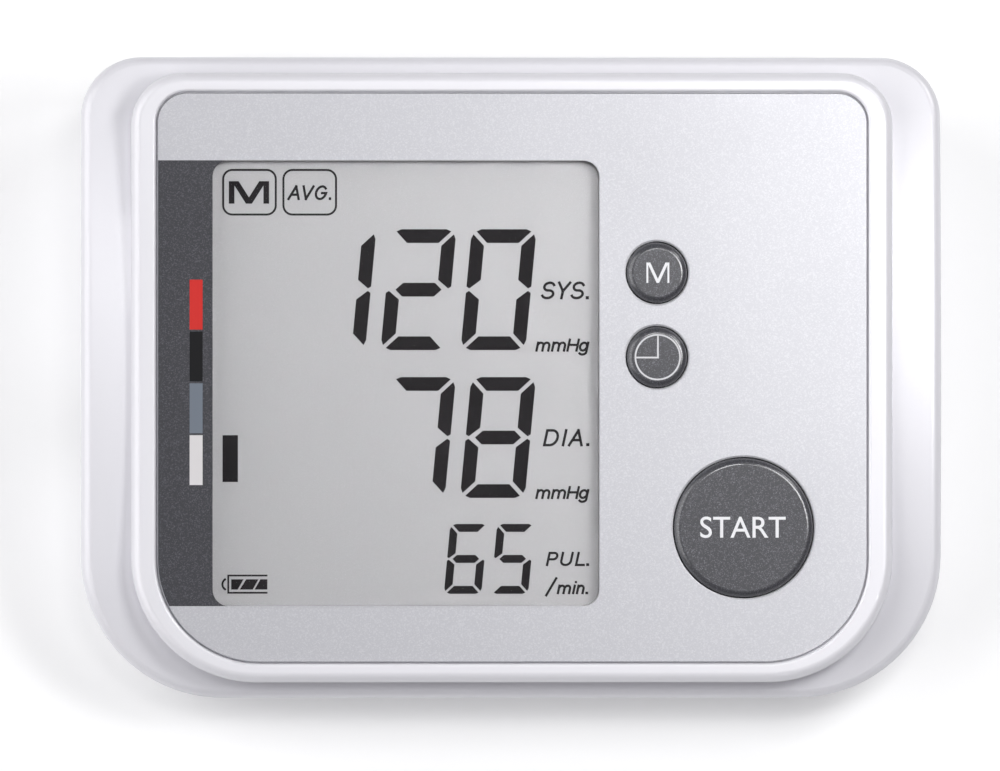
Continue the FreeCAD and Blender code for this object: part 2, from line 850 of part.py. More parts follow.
def lower_casing():
    """The bottom shell: drafted walls, floor, battery bay, hinge block, screw wells and the joining lip."""
    everywhere = 2 * s.casing_width
    depth = lower_reach + s.overrun
    outside = lie_on_face(plate(casing_outline(), parting - depth, parting, down=True, draft=s.face_tilt))
    outer = round_faces(
        common(outside, block((everywhere, everywhere, everywhere), (0, 0, base_z))),
        s.base_round,
        flat_at(base_z),
    )
    hollow_block = plate(
        casing_outline(s.casing_wall), parting - depth, parting, down=True, draft=s.face_tilt
    )
    above_floor = block((everywhere, everywhere, everywhere), (0, 0, floor_z))
    cavity = common(lie_on_face(hollow_block), above_floor)
    well_radius = s.case_screw_head_radius + s.well_gap + s.well_wall
    columns = [rod(well_radius, depth, (x, y, parting - depth)) for x, y in screw_places]
    block_half = bay_width / 2 + s.door_ledge + s.hinge_pin_length + s.hinge_wall
    seat_half = s.manifold_side / 2 - s.manifold_seat_inset
    inside = fuse(
        lie_on_face(fuse(*columns)),
        span(
            (-bay_side, bay_front_y - s.bay_wall, base_z),
            (bay_side, bay_rear_y + s.bay_wall, bay_roof + s.bay_wall),
        ),
        span(
            (-block_half, hinge_block_y, base_z),
            (block_half, bay_front_y, hinge_z + groove_radius + s.hinge_wall),
        ),
        span(
            (air_x - seat_half, manifold_y - seat_half, base_z),
            (air_x + seat_half, manifold_y + seat_half, air_height - s.manifold_side / 2),
        ),
        span(
            (jack_x - s.jack_housing_side / 2, jack_front_y, base_z),
            (jack_x + s.jack_housing_side / 2, rear_y - s.casing_wall,
             s.jack_height - s.jack_housing_side / 2),
        ),
    )
    lip = cut(
        plate(casing_outline(s.casing_wall / 2), parting, parting + s.lip_height),
        plate(casing_outline(s.casing_wall), parting - s.overrun, parting + s.lip_height + s.overrun),
    )
    seam = cut(
        plate(casing_outline(-s.overrun), parting - s.seam_height, parting + s.overrun),
        plate(casing_outline(s.seam_depth), parting - s.seam_height - s.overrun, parting + 2 * s.overrun),
    )
    shell = fuse(cut(outer, cavity, lie_on_face(seam)), common(inside, outer), lie_on_face(lip))
    feet = [
        rod(s.foot_radius + s.foot_gap, s.foot_recess + s.overrun, (x, y, base_z - s.overrun))
        for x, y in foot_places
    ]
    socket_reach = s.casing_width / 2 + s.overrun + air_x - s.manifold_side
    socket_hole = rod(
        s.socket_radius + s.wall_hole_gap,
        socket_reach,
        (-s.casing_width / 2 - s.overrun, manifold_y, air_height),
        "x",
    )
    jack_hole = rod(
        s.jack_radius + s.wall_hole_gap,
        s.casing_wall + 2 * s.overrun,
        (jack_x, rear_y - s.casing_wall - s.overrun, s.jack_height),
        "y",
    )
    tag_holes = [
        rod(
            s.tag_radius + s.tag_gap,
            s.bay_wall + 2 * s.overrun,
            (cell_x(end), bay_front_y - s.bay_wall - s.overrun, cell_z),
            "y",
        )
        for end in (0, CELL_COUNT - 1)
    ]
    keep(
        cut(shell, bay_inside(), *door_opening(), screw_wells(), *feet, socket_hole, jack_hole, *tag_holes),
        "lower_casing",
    )


def case_screws():
    """Four screws that hold the two shells together."""
    seat = parting - s.boss_seat
    head = s.case_screw_head_height
    screws = [
        fuse(
            rod(s.case_screw_radius, s.boss_seat + s.case_screw_bite, (x, y, seat)),
            rod(s.case_screw_head_radius, head, (x, y, seat - head)),
        )
        for x, y in screw_places
    ]
    keep(group(*screws), "case_screws", tilted=True)


def rubber_feet():
    """Four round feet that stand in recesses of the floor."""
    feet = [rod(s.foot_radius, base_z + s.foot_recess, (x, y, 0)) for x, y in foot_places]
    keep(group(*feet), "rubber_feet")


# Face panel and display
def strip_block():
    """The dark field from the panel's left edge to the window, as deep as the strip is thick."""
    edge = s.panel_gap + s.panel_chamfer
    window_left = window_x - window_width / 2
    window_front = window_y - window_depth / 2
    field = span(
        (-panel_width / 2 + edge, window_front, panel_top - s.strip_thickness),
        (window_left + s.window_round, window_front + window_depth, panel_top),
    )
    inside_edge = plate(panel_outline(edge), panel_top - s.strip_thickness, panel_top)
    return cut(common(inside_edge, field), window_hole())


def face_panel():
    """The silver panel that lies in the bezel's recess, with its openings and the field for the strip."""
    body = doc.addObject("PartDesign::Body", "Panel")
    sheet_pad = pad(body, outline_sketch(body, deck_top, panel_outline(s.panel_gap)), s.panel_thickness)
    doc.recompute()
    chamfer = body.newObject("PartDesign::Chamfer", "Chamfer")
    test = flat_at(panel_top)
    rims = [f"Edge{i}" for i, edge in enumerate(sheet_pad.Shape.Edges, 1) if test(edge)]
    chamfer.Base = (sheet_pad, rims)
    bind(chamfer, "Size", s.panel_chamfer)
    rise = s.hole_bevel_depth + s.overrun
    run = s.hole_bevel_width * rise / s.hole_bevel_depth
    bevels = [
        cone(r + s.button_gap, r + s.button_gap + run, rise, (x, y, panel_top - s.hole_bevel_depth))
        for x, y, r in button_places
    ]
    keep(cut(body, window_hole(), *button_holes(), *bevels, strip_block()), "face_panel", tilted=True)


def scale_strip():
    keep(strip_block(), "scale_strip", tilted=True)


def display_pieces():
    """Window, liquid crystal glass, the frame round both and the two contact strips below the glass."""
    glass = window_outline(s.glass_margin)
    keep(plate(glass, lens_bottom, deck_bottom), "display_window", tilted=True)
    keep(plate(glass, glass_bottom, glass_top), "display_glass", tilted=True)
    inner = s.glass_margin + s.frame_gap
    frame = cut(
        plate(window_outline(inner + s.frame_wall), board_top, deck_bottom),
        plate(window_outline(inner), board_top - s.overrun, deck_bottom + s.overrun),
    )
    keep(frame, "display_frame", tilted=True)
    length = window_width - 2 * s.window_round
    reach = window_depth / 2 + s.glass_margin - s.zebra_inset - s.zebra_width / 2
    strips = [
        block((length, s.zebra_width, s.board_standoff), (window_x, window_y + side * reach, board_top))
        for side in (-1, 1)
    ]
    keep(group(*strips), "contact_strips", tilted=True)


# Buttons
def button(label, x, y, radius, edge_round, stem_radius):
    """A cap with a rounded edge, a flange that keeps it under the deck, and a stem over the dome."""
    body = doc.addObject("PartDesign::Body", "Button")
    cap_top = panel_top + s.cap_proud
    cap = pad(body, circle_sketch(body, flange_bottom, x, y, radius), cap_top - flange_bottom)
    round_edges(body, cap, edge_round, flat_at(cap_top))
    pad(body, circle_sketch(body, flange_bottom, x, y, radius + s.flange_margin), s.flange_thickness)
    stem_bottom = dome_top + s.dome_gap
    pad(body, circle_sketch(body, stem_bottom, x, y, stem_radius), flange_top - stem_bottom)
    keep(body, label, tilted=True)


def dome(label, x, y, stem_radius):
    """A hollow rubber dome on the board that returns a button."""
    foot = stem_radius + s.dome_flare
    hollow_height = s.dome_height - s.dome_roof
    outside = cone(foot, stem_radius, s.dome_height, (x, y, board_top))
    inside = cone(foot - s.dome_wall, stem_radius - s.dome_wall, hollow_height, (x, y, board_top))
    keep(cut(outside, inside), label, tilted=True)


def buttons():
    button("start_button", start_x, start_y, s.start_radius, s.start_round, s.start_stem_radius)
    button("memory_button", key_x, memory_y, s.key_radius, s.key_round, s.key_stem_radius)
    button("clock_button", key_x, clock_y, s.key_radius, s.key_round, s.key_stem_radius)
    dome("start_dome", start_x, start_y, s.start_stem_radius)
    dome("memory_dome", key_x, memory_y, s.key_stem_radius)
    dome("clock_dome", key_x, clock_y, s.key_stem_radius)


# Circuit board
def main_board():
    """The board on the deck's posts, notched at its rear corners for the screw bosses."""
    sheet_block = span((-board_half, board_front, board_bottom), (board_half, board_rear, board_top))
    notch_x = boss_rear_x - s.boss_radius - s.board_boss_gap
    notch_y = boss_rear_y - s.boss_radius - s.board_boss_gap
    over = board_half + s.overrun
    notches = [
        span(
            (low, notch_y, board_bottom - s.overrun),
            (high, board_rear + s.overrun, board_top + s.overrun),
        )
        for low, high in ((notch_x, over), (-over, -notch_x))
    ]
    holes = [
        rod(s.board_hole_radius, s.board_thickness + 2 * s.overrun, (x, y, board_bottom - s.overrun))
        for x, y in post_places
    ]
    keep(cut(sheet_block, *notches, *holes), "main_board", tilted=True)


def board_screws():
    length = s.board_thickness + s.board_screw_bite
    head = s.board_screw_head_height
    screws = [
        fuse(
            rod(s.board_screw_radius, length, (x, y, board_bottom)),
            rod(s.board_screw_head_radius, head, (x, y, board_bottom - head)),
        )
        for x, y in post_places
    ]
    keep(group(*screws), "board_screws", tilted=True)


def board_parts():
    """Processor, buzzer, capacitors and plugs on the underside of the board."""
    under = board_bottom - s.chip_height
    chip = block((s.chip_side, s.chip_side, s.chip_height), (s.chip_x, chip_y, under))
    keep(group(chip), "processor_chip", True)
    buzzer_place = (s.buzzer_x, buzzer_y, board_bottom - s.buzzer_height)
    buzzer = rod(s.buzzer_radius, s.buzzer_height, buzzer_place)
    sound_hole = rod(s.board_hole_radius, s.buzzer_height / 2, buzzer_place)
    keep(cut(buzzer, sound_hole), "buzzer", True)
    cans = [
        rod(
            s.capacitor_radius, s.capacitor_height,
            (s.capacitor_x + place * s.capacitor_pitch, capacitor_y, board_bottom - s.capacitor_height),
        )
        for place in range(CAPACITOR_COUNT)
    ]
    keep(group(*cans), "board_capacitors", True)
    plugs = [
        block((s.plug_width, s.plug_depth, s.plug_height), (x, y, board_bottom - s.plug_height))
        for x, y in (pump_plug, cell_plug, valve_plug)
    ]
    keep(group(*plugs), "board_plugs", True)


# Battery bay
def cell_x(place):
    return (place - (CELL_COUNT - 1) / 2) * s.cell_pitch


def battery_cells():
    """Four cells side by side, turned end for end in turn."""
    body_length = s.cell_length - s.nub_length
    for place in range(CELL_COUNT):
        x = cell_x(place)
        if place % 2 == 0:
            tail = bay_front_y + s.contact_thickness + s.spring_space
            nub = tail + body_length
        else:
            tail = bay_front_y + s.contact_thickness + s.nub_length
            nub = tail - s.nub_length
        can = rod(s.cell_radius, body_length, (x, tail, cell_z), "y")
        keep(fuse(can, rod(s.nub_radius, s.nub_length, (x, nub, cell_z), "y")), f"battery_{place + 1}")


def contact_plates():
    """Single plates at the two ends of the row and double ones that join neighbouring cells."""
    single = s.contact_side
    double = s.contact_side + s.cell_pitch
    front = bay_front_y + s.contact_thickness / 2
    rear = bay_rear_y - s.contact_thickness / 2
    places = [
        (cell_x(0), front, single),
        ((cell_x(1) + cell_x(2)) / 2, front, double),
        (cell_x(3), front, single),
        ((cell_x(0) + cell_x(1)) / 2, rear, double),
        ((cell_x(2) + cell_x(3)) / 2, rear, double),
    ]
    plates = [
        block((width, s.contact_thickness, s.contact_side), (x, y, cell_z - s.contact_side / 2))
        for x, y, width in places
    ]
    for end in (0, 2):
        tag = rod(s.tag_radius, front - cell_tag_y, (places[end][0], cell_tag_y, cell_z), "y")
        plates[end] = fuse(plates[end], tag)
    keep(group(*plates), "contact_plates")


def biarc(start, start_way, end, end_way):
    """Two arcs that leave the start along one direction and reach the end along the other."""
    chord = end - start
    ways = start_way + end_way
    a = 2 * (start_way.dot(end_way) - 1)
    b = -2 * chord.dot(ways)
    c = chord.dot(chord)
    reach = (-b - math.sqrt(b * b - 4 * a * c)) / (2 * a)
    if reach < 0:
        reach = (-b + math.sqrt(b * b - 4 * a * c)) / (2 * a)
    near = start + start_way * reach
    far = end - end_way * reach
    joint = (near + far) / 2

    def through(first, knee, last):
        middle = (first + last) / 2
        half = (last - first).Length / 2
        turn = 2 * math.atan2((knee - middle).Length, half)
        top = middle + (knee - middle).normalize() * (half * math.tan(turn / 4))
        return Part.Arc(first, top, last).toShape()

    return [through(start, near, joint), through(joint, far, end)]


def contact_springs():
    """A conical coil of wire between each cell's flat end and its plate."""
    rise = s.spring_space.value - 2 * s.spring_wire_radius.value
    wire = s.spring_wire_radius.value
    wide, narrow = s.spring_base_radius.value, s.spring_tip_radius.value
    whole = 2 * math.pi * SPRING_TURNS

    def coil_point(turn):
        radius = wide + (narrow - wide) * turn / whole
        return Vector(radius * math.cos(turn), radius * math.sin(turn), wire + rise * turn / whole)

    def coil_way(turn):
        step = whole * COIL_STEP_SHARE
        return (coil_point(turn + step) - coil_point(turn - step)).normalize()

    count = int(SPRING_TURNS * ARCS_PER_TURN)
    turns = [whole * i / count for i in range(count + 1)]
    edges = []
    for low, high in zip(turns, turns[1:]):
        edges += biarc(coil_point(low), coil_way(low), coil_point(high), coil_way(high))
    path = Part.Wire(edges)
    profile = Part.Wire(Part.Circle(coil_point(0), coil_way(0), wire).toShape())
    coil = Part.Solid(path.makePipeShell([profile], True, False))
    pitch = rise / SPRING_TURNS
    step_in = (wide - narrow) / SPRING_TURNS
    print(f"contact spring: least gap between turns {math.hypot(pitch, step_in) - 2 * wire:.2f} mm")
    expected = path.Length * math.pi * wire**2
    print(f"contact spring: volume {coil.Volume:.2f}, section by length {expected:.2f}")
    springs = []
    for place in range(CELL_COUNT):
        if place % 2 == 0:
            seat, way = bay_front_y + s.contact_thickness, -90
        else:
            seat, way = bay_rear_y - s.contact_thickness, 90
        spring = doc.addObject("Part::Feature", "Spring")
        spring.Shape = coil
        springs.append(put(spring, (cell_x(place), seat, cell_z), Rotation(Vector(1, 0, 0), way)))
    keep(group(*springs), "contact_springs")


def battery_door():
    """The door in the floor: a plate with a hinge bead and two pins at its front and a tab at its rear."""
    half = bay_width / 2 + s.door_ledge - s.door_gap
    rear = bay_rear_y + s.door_ledge
    pin_length = 2 * (half + s.hinge_pin_length)
    keep(
        fuse(
            span((-half, hinge_y, base_z), (half, rear - s.door_gap, door_top)),
            rod(s.hinge_bead_radius, 2 * half, (-half, hinge_y, hinge_z), "x"),
            rod(s.hinge_pin_radius, pin_length, (-pin_length / 2, hinge_y, hinge_z), "x"),
            span(
                (-s.tab_width / 2, rear - s.overrun, base_z),
                (s.tab_width / 2, rear + s.tab_length - s.door_gap, base_z + s.tab_thickness),
            ),
        ),
        "battery_door",
    )


# Air pump
def pump():
    """Motor can, pump head with its nozzle, and the rotor that turns in both."""
    can = rod(s.pump_radius, s.motor_length, (pump_x, motor_y, pump_z), "y")
    can_inside = rod(
        s.pump_radius - s.motor_wall,
        s.motor_length - 2 * s.motor_wall,
        (pump_x, motor_y + s.motor_wall, pump_z),
        "y",
    )
    bore = rod(
        s.shaft_radius + s.shaft_fit,
        s.motor_length + s.overrun - s.shaft_end_gap / 2,
        (pump_x, motor_y - s.overrun, pump_z),
        "y",
    )
    tag_side = 2 * s.wire_radius
    tags = [
        block(
            (tag_side, s.tag_length, tag_side),
            (pump_x + side * s.wire_pitch, motor_y + s.motor_length + s.tag_length / 2,
             pump_z - s.wire_radius),
        )
        for side in (-1, 1)
    ]
    keep(fuse(cut(can, can_inside, bore), *tags), "pump_motor")

    head = rod(s.pump_radius, s.pump_head_length, (pump_x, pump_front_y, pump_z), "y")
    nozzle = rod(
        s.nozzle_radius, s.nozzle_length + s.overrun,
        (pump_x, pump_front_y - s.nozzle_length, pump_z), "y",
    )
    chamber_y = motor_y - s.pump_chamber_length
    chamber = rod(s.pump_chamber_radius, s.pump_chamber_length, (pump_x, chamber_y, pump_z), "y")
    air = rod(
        s.nozzle_bore_radius,
        chamber_y - pump_front_y + s.nozzle_length + 2 * s.overrun,
        (pump_x, pump_front_y - s.nozzle_length - s.overrun, pump_z),
        "y",
    )
    keep(cut(fuse(head, nozzle), chamber, air), "pump_head")

    eccentric_y = chamber_y + s.pump_chamber_length / 2
    shaft_end = motor_y + s.motor_length - s.shaft_end_gap
    armature_y = motor_y + (s.motor_length - s.armature_length) / 2
    keep(
        fuse(
            rod(s.shaft_radius, shaft_end - eccentric_y, (pump_x, eccentric_y, pump_z), "y"),
            rod(s.armature_radius, s.armature_length, (pump_x, armature_y, pump_z), "y"),
            rod(
                s.eccentric_radius, s.eccentric_length,
                (pump_x, eccentric_y, pump_z + s.eccentric_throw), "y",
            ),
        ),
        "pump_rotor",
    )


def pump_seat():
    """Cradle on the floor, strap over the pump and the two screws that hold it down."""
    half = cradle_half
    front = pump_front_y + s.cradle_inset
    middle = front + s.cradle_length / 2
    strap_y = middle - s.strap_width / 2
    hollow = rod(trough_radius, s.cradle_length + 2 * s.overrun, (pump_x, front - s.overrun, pump_z), "y")
    pilots = [
        rod(
            s.strap_screw_radius + s.screw_gap,
            s.strap_screw_length + s.strap_thickness,
            (pump_x + side * strap_screw_x, middle, pump_z - s.strap_screw_length),
        )
        for side in (-1, 1)
    ]
    bed = span((pump_x - half, front, floor_z), (pump_x + half, front + s.cradle_length, pump_z))
    keep(cut(bed, hollow, *pilots), "pump_cradle")

    band = cut(
        rod(trough_radius + s.strap_thickness, s.strap_width, (pump_x, strap_y, pump_z), "y"),
        rod(trough_radius, s.strap_width + 2 * s.overrun, (pump_x, strap_y - s.overrun, pump_z), "y"),
    )
    upper_half = span(
        (pump_x - half, strap_y, pump_z), (pump_x + half, strap_y + s.strap_width, pump_z + half)
    )
    ears = [
        span((low, strap_y, pump_z), (high, strap_y + s.strap_width, pump_z + s.strap_thickness))
        for low, high in (
            (pump_x - half, pump_x - trough_radius),
            (pump_x + trough_radius, pump_x + half),
        )
    ]
    strap_holes = [
        rod(
            s.strap_screw_radius + s.screw_gap,
            s.strap_thickness + 2 * s.overrun,
            (pump_x + side * strap_screw_x, middle, pump_z - s.overrun),
        )
        for side in (-1, 1)
    ]
    keep(cut(fuse(common(band, upper_half), *ears), hollow, *strap_holes), "pump_strap")
    screws = [
        fuse(
            rod(
                s.strap_screw_radius, s.strap_screw_length + s.strap_thickness - s.pilot_spare,
                (pump_x + side * strap_screw_x, middle, pump_z - s.strap_screw_length + s.pilot_spare),
            ),
            rod(
                s.strap_screw_head_radius, s.strap_screw_head_height,
                (pump_x + side * strap_screw_x, middle, pump_z + s.strap_thickness),
            ),
        )
        for side in (-1, 1)
    ]
    keep(group(*screws), "pump_screws")


# Air line
def release_valve():
    """Valve box with a nozzle at its front and a plunger in its rear."""
    mid_y = valve_front_y + s.valve_length / 2
    rear = valve_front_y + s.valve_length
    box = block((s.valve_width, s.valve_length, s.valve_height), (air_x, mid_y, floor_z))
    nozzle_y = valve_front_y - s.nozzle_length
    nozzle = rod(s.nozzle_radius, s.nozzle_length + s.overrun, (air_x, nozzle_y, air_height), "y")
    tail = rear + s.plunger_proud - s.plunger_length
    guide_y = tail - s.plunger_stroke - s.plunger_fit
    guide = rod(
        s.plunger_radius + s.plunger_fit, rear + s.overrun - guide_y, (air_x, guide_y, air_height), "y"
    )
    air = rod(
        s.nozzle_bore_radius, guide_y - nozzle_y + 2 * s.overrun,
        (air_x, nozzle_y - s.overrun, air_height), "y",
    )
    keep(cut(fuse(box, nozzle), guide, air), "valve_body")
    keep(rod(s.plunger_radius, s.plunger_length, (air_x, tail, air_height), "y"), "valve_plunger")


def air_manifold():
    """A hollow cube with nozzles to the socket, the pump, the valve and the sensor."""
    x, y, z = air_x, manifold_y, air_height

    def cross(side, radius, length, short_length):
        """A cube with rods on its left, front, rear and upper face."""
        inner = side / 2 - s.overrun
        return fuse(
            block((side, side, side), (x, y, z - side / 2)),
            rod(radius, length, (x - inner - length, y, z), "x"),
            rod(radius, length, (x, y - inner - length, z), "y"),
            rod(radius, length, (x, y + inner, z), "y"),
            rod(radius, short_length, (x, y, z + inner)),
        )

    solid = cross(
        s.manifold_side, s.nozzle_radius, s.nozzle_length + s.overrun, s.short_nozzle_length + s.overrun
    )
    wall = (s.manifold_side - s.manifold_chamber) / 2
    air = cross(
        s.manifold_chamber, s.nozzle_bore_radius,
        wall + s.nozzle_length + 2 * s.overrun, wall + s.short_nozzle_length + 2 * s.overrun,
    )
    keep(cut(solid, air), "air_manifold")


def pressure_sensor():
    """A sensor under the board whose short nozzle points down at the manifold."""
    body_bottom = board_bottom - s.sensor_height
    body = block((s.sensor_side, s.sensor_side, s.sensor_height), (air_x, sensor_y, body_bottom))
    length = s.short_nozzle_length + s.overrun
    nozzle = rod(s.nozzle_radius, length, (air_x, sensor_y, sensor_tip))
    air = rod(s.nozzle_bore_radius, length, (air_x, sensor_y, sensor_tip - s.overrun))
    keep(cut(fuse(body, nozzle), air), "pressure_sensor", tilted=True)


def straight_hose(label, length, place, along, gap):
    """A short straight sleeve over two nozzles."""
    inner = s.nozzle_radius + gap
    outer = rod(inner + s.hose_wall, length, place, along)
    keep(cut(outer, rod(inner, length, place, along)), label)


def rounded_path(points):
    """Straight runs joined by tangent arcs, each as large as its runs allow."""
    edges = []
    start = points[0]
    for before, corner, after in zip(points, points[1:], points[2:]):
        back, ahead = (before - corner), (after - corner)
        turn = math.pi - back.getAngle(ahead)
        trim = BEND_SHARE * min(back.Length, ahead.Length)
        leave = corner + back.normalize() * trim
        join = corner + ahead.normalize() * trim
        radius = trim / math.tan(turn / 2)
        inward = (leave + join) / 2 - corner
        centre_distance = radius / math.cos(turn / 2)
        crown = corner + inward.normalize() * (centre_distance - radius)
        edges.append(Part.LineSegment(start, leave).toShape())
        edges.append(Part.Arc(leave, crown, join).toShape())
        start = join
    edges.append(Part.LineSegment(start, points[-1]).toShape())
    return Part.Wire(edges)


def swept(path, radius):
    """A round solid along a path."""
    first = path.Edges[0]
    way = first.tangentAt(first.FirstParameter)
    profile = Part.Wire(Part.Circle(first.valueAt(first.FirstParameter), way, radius).toShape())
    solid = Part.Solid(path.makePipeShell([profile], True, False))
    solid.fix(Part.Precision.confusion(), Part.Precision.confusion(), Part.Precision.confusion())
    expected = path.Length * math.pi * radius**2
    assert abs(solid.Volume - expected) < expected * VOLUME_SHARE, (solid.Volume, expected)
    return solid


def hoses():
    """Silicone hoses from the manifold to the valve, the socket, the sensor and the pump."""
    reach = s.manifold_side / 2 + s.hose_end_gap
    behind = (air_x, manifold_y + reach, air_height)
    straight_hose("valve_hose", s.valve_hose_length, behind, "y", s.hose_gap)
    socket_inner = -s.casing_width / 2 + s.socket_set_in + s.socket_length
    start_x = socket_inner + s.hose_end_gap
    straight_hose(
        "socket_hose", air_x - reach - start_x, (start_x, manifold_y, air_height), "x", s.hose_gap
    )
    low = air_height + reach
    sensor_bottom = on_face(0, sensor_y, board_bottom - s.sensor_height)[2]
    lean = (s.nozzle_radius + s.hose_wall) * tilt_sin + s.sensor_hose_gap
    straight_hose(
        "sensor_hose", sensor_bottom - lean - low, (air_x, manifold_y, low), "z", s.sensor_hose_gap
    )
    corners = [
        point((pump_x, pump_front_y - s.hose_end_gap, pump_z)),
        point((pump_x, hose_y, pump_z)),
        point((pump_x - s.hose_descent, hose_y, air_height)),
        point((air_x, hose_y, air_height)),
        point((air_x, manifold_y - reach, air_height)),
    ]
    path = rounded_path(corners)
    hose = doc.addObject("Part::Feature", "PumpHose")
    inner = s.nozzle_radius + s.hose_gap
    hose.Shape = swept(path, hose_radius.value).cut(swept(path, inner.value))
    print(f"pump hose: {path.Length:.1f} mm long")
    keep(hose, "pump_hose")


def air_socket():
    """The socket in the left wall that the arm cuff's plug goes into, with a nozzle inside."""
    outer_x = -s.casing_width / 2 + s.socket_set_in
    inner_x = outer_x + s.socket_length
    y, z = manifold_y, air_height
    ears_x = inner_x - 2 * s.socket_ear_length
    ears = (s.socket_ear_length, s.socket_ear_span, s.socket_ear_height)
    solid = fuse(
        rod(s.socket_radius, s.socket_length, (outer_x, y, z), "x"),
        block(ears, (ears_x, y, z - s.socket_ear_height / 2)),
        rod(s.nozzle_radius, s.nozzle_length + s.overrun, (inner_x - s.overrun, y, z), "x"),
    )
    bore = rod(s.socket_bore_radius, s.socket_bore_depth, (outer_x, y, z), "x")
    air = rod(s.nozzle_bore_radius, s.socket_length + s.nozzle_length + s.overrun, (outer_x, y, z), "x")
    keep(cut(solid, bore, air), "air_socket")


def adapter_jack():
    """The mains adapter's jack in the rear wall: housing, round collar and centre pin."""
    mouth = rear_y - s.jack_set_in
    housing = span(
        (jack_x - s.jack_housing_side / 2, jack_front_y, s.jack_height - s.jack_housing_side / 2),
        (jack_x + s.jack_housing_side / 2, mouth - s.jack_collar_length,
         s.jack_height + s.jack_housing_side / 2),
    )
    collar = rod(
        s.jack_radius, s.jack_collar_length + s.overrun,
        (jack_x, mouth - s.jack_collar_length - s.overrun, s.jack_height), "y",
    )
    bottom = mouth - s.jack_bore_depth
    bore = rod(s.jack_bore_radius, s.jack_bore_depth, (jack_x, bottom, s.jack_height), "y")
    keep(cut(fuse(housing, collar), bore), "adapter_jack")
    keep(rod(s.jack_pin_radius, s.jack_pin_length, (jack_x, bottom, s.jack_height), "y"), "jack_pin")


# Wires
def wire_pair(label, corner_lists):
    """Two insulated wires along their own corners."""
    wires = []
    for corners in corner_lists:
        wire = doc.addObject("Part::Feature", "Lead")
        wire.Shape = swept(rounded_path([point(corner) for corner in corners]), s.wire_radius.value)
        wires.append(wire)
    keep(group(*wires), label)


def leads():
    """Wires from the motor, the battery contacts and the valve to the plugs under the board."""
    half_plug = s.plug_width / 2
    motor_tag_y = motor_y + s.motor_length + s.tag_length / 2
    motor_wires, cell_wires, valve_wires = [], [], []
    for side in (-1, 1):
        tag_x = pump_x + side * s.wire_pitch
        x, y, z = on_face(pump_plug[0] + half_plug, pump_plug[1] + side * s.wire_pitch / 2, plug_level)
        motor_wires.append([
            (tag_x, motor_tag_y, pump_z + s.wire_radius),
            (tag_x, motor_tag_y, pump_z + s.wire_rise),
            (x + half_plug + s.wire_pitch, y, z),
            (x, y, z),
        ])
        cell_end = cell_x(0) if side < 0 else cell_x(CELL_COUNT - 1)
        x, y, z = on_face(side * half_plug, cell_plug[1], plug_level)
        cell_wires.append([
            (cell_end, cell_tag_y + s.tag_radius, cell_z + s.tag_radius + s.tag_gap),
            (cell_end, y, z),
            (x, y, z),
        ])
        x, y, z = on_face(valve_plug[0] - half_plug, valve_plug[1] + side * s.wire_pitch / 2, plug_level)
        valve_wires.append([
            (air_x, y, floor_z + s.valve_height),
            (air_x, y, z),
            (x, y, z),
        ])
    wire_pair("pump_leads", motor_wires)
    wire_pair("battery_leads", cell_wires)
    wire_pair("valve_leads", valve_wires)


upper_casing()
lower_casing()
case_screws()
rubber_feet()
face_panel()
scale_strip()
display_pieces()
buttons()
main_board()
board_screws()
board_parts()
pressure_sensor()
battery_cells()
contact_plates()
contact_springs()
battery_door()
pump()
pump_seat()
release_valve()
air_manifold()
air_socket()
adapter_jack()
hoses()
leads()
doc.recompute()

for obj in doc.Objects:
    if {"Invalid", "Error"} & set(obj.State):
        raise RuntimeError(f"{obj.Name} ({obj.Label}) failed: {obj.State}")
for node in nodes:
    if node.Shape.isNull() or not node.Shape.isValid() or not node.Shape.Solids:
        raise RuntimeError(f"{node.Label} has no valid solid")

os.makedirs("parts", exist_ok=True)
for node in nodes:
    node.Shape.exportStep(os.path.join("parts", f"{node.Label}.step"))
print(f"{len(nodes)} sub-parts written")
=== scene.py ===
"""Looks of a tabletop blood pressure monitor: finishes, the reading on its display and its printed signs.

Lengths are in metres in the part's own frame, except on the face, where they are in millimetres to the right
of the panel's middle, up the face from it and out of it.
"""
import json

import bmesh
import bpy
import numpy as np
from mathutils import Matrix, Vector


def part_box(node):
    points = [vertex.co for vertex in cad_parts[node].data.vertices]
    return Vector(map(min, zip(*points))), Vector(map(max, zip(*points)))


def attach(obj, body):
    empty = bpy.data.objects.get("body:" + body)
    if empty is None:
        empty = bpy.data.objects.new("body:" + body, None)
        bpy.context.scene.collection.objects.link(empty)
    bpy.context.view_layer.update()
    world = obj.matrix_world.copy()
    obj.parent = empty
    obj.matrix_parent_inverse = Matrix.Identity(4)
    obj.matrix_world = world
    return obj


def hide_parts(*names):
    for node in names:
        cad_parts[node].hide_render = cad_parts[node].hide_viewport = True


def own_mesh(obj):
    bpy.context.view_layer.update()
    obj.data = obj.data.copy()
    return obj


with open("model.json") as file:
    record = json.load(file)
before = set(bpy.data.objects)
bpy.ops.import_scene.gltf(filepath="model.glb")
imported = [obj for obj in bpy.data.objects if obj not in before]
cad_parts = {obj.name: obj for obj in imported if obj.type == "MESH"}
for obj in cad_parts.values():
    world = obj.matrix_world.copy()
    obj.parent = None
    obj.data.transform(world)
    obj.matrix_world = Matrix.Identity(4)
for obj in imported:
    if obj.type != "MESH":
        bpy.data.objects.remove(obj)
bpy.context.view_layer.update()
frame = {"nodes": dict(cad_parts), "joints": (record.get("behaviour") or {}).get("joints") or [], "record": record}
nodes = frame["nodes"]

MM = 0.001


# Face frame
def points_of(mesh):
    """All vertices of a mesh as rows."""
    flat = np.empty(3 * len(mesh.vertices))
    mesh.vertices.foreach_get("co", flat)
    return flat.reshape(-1, 3)


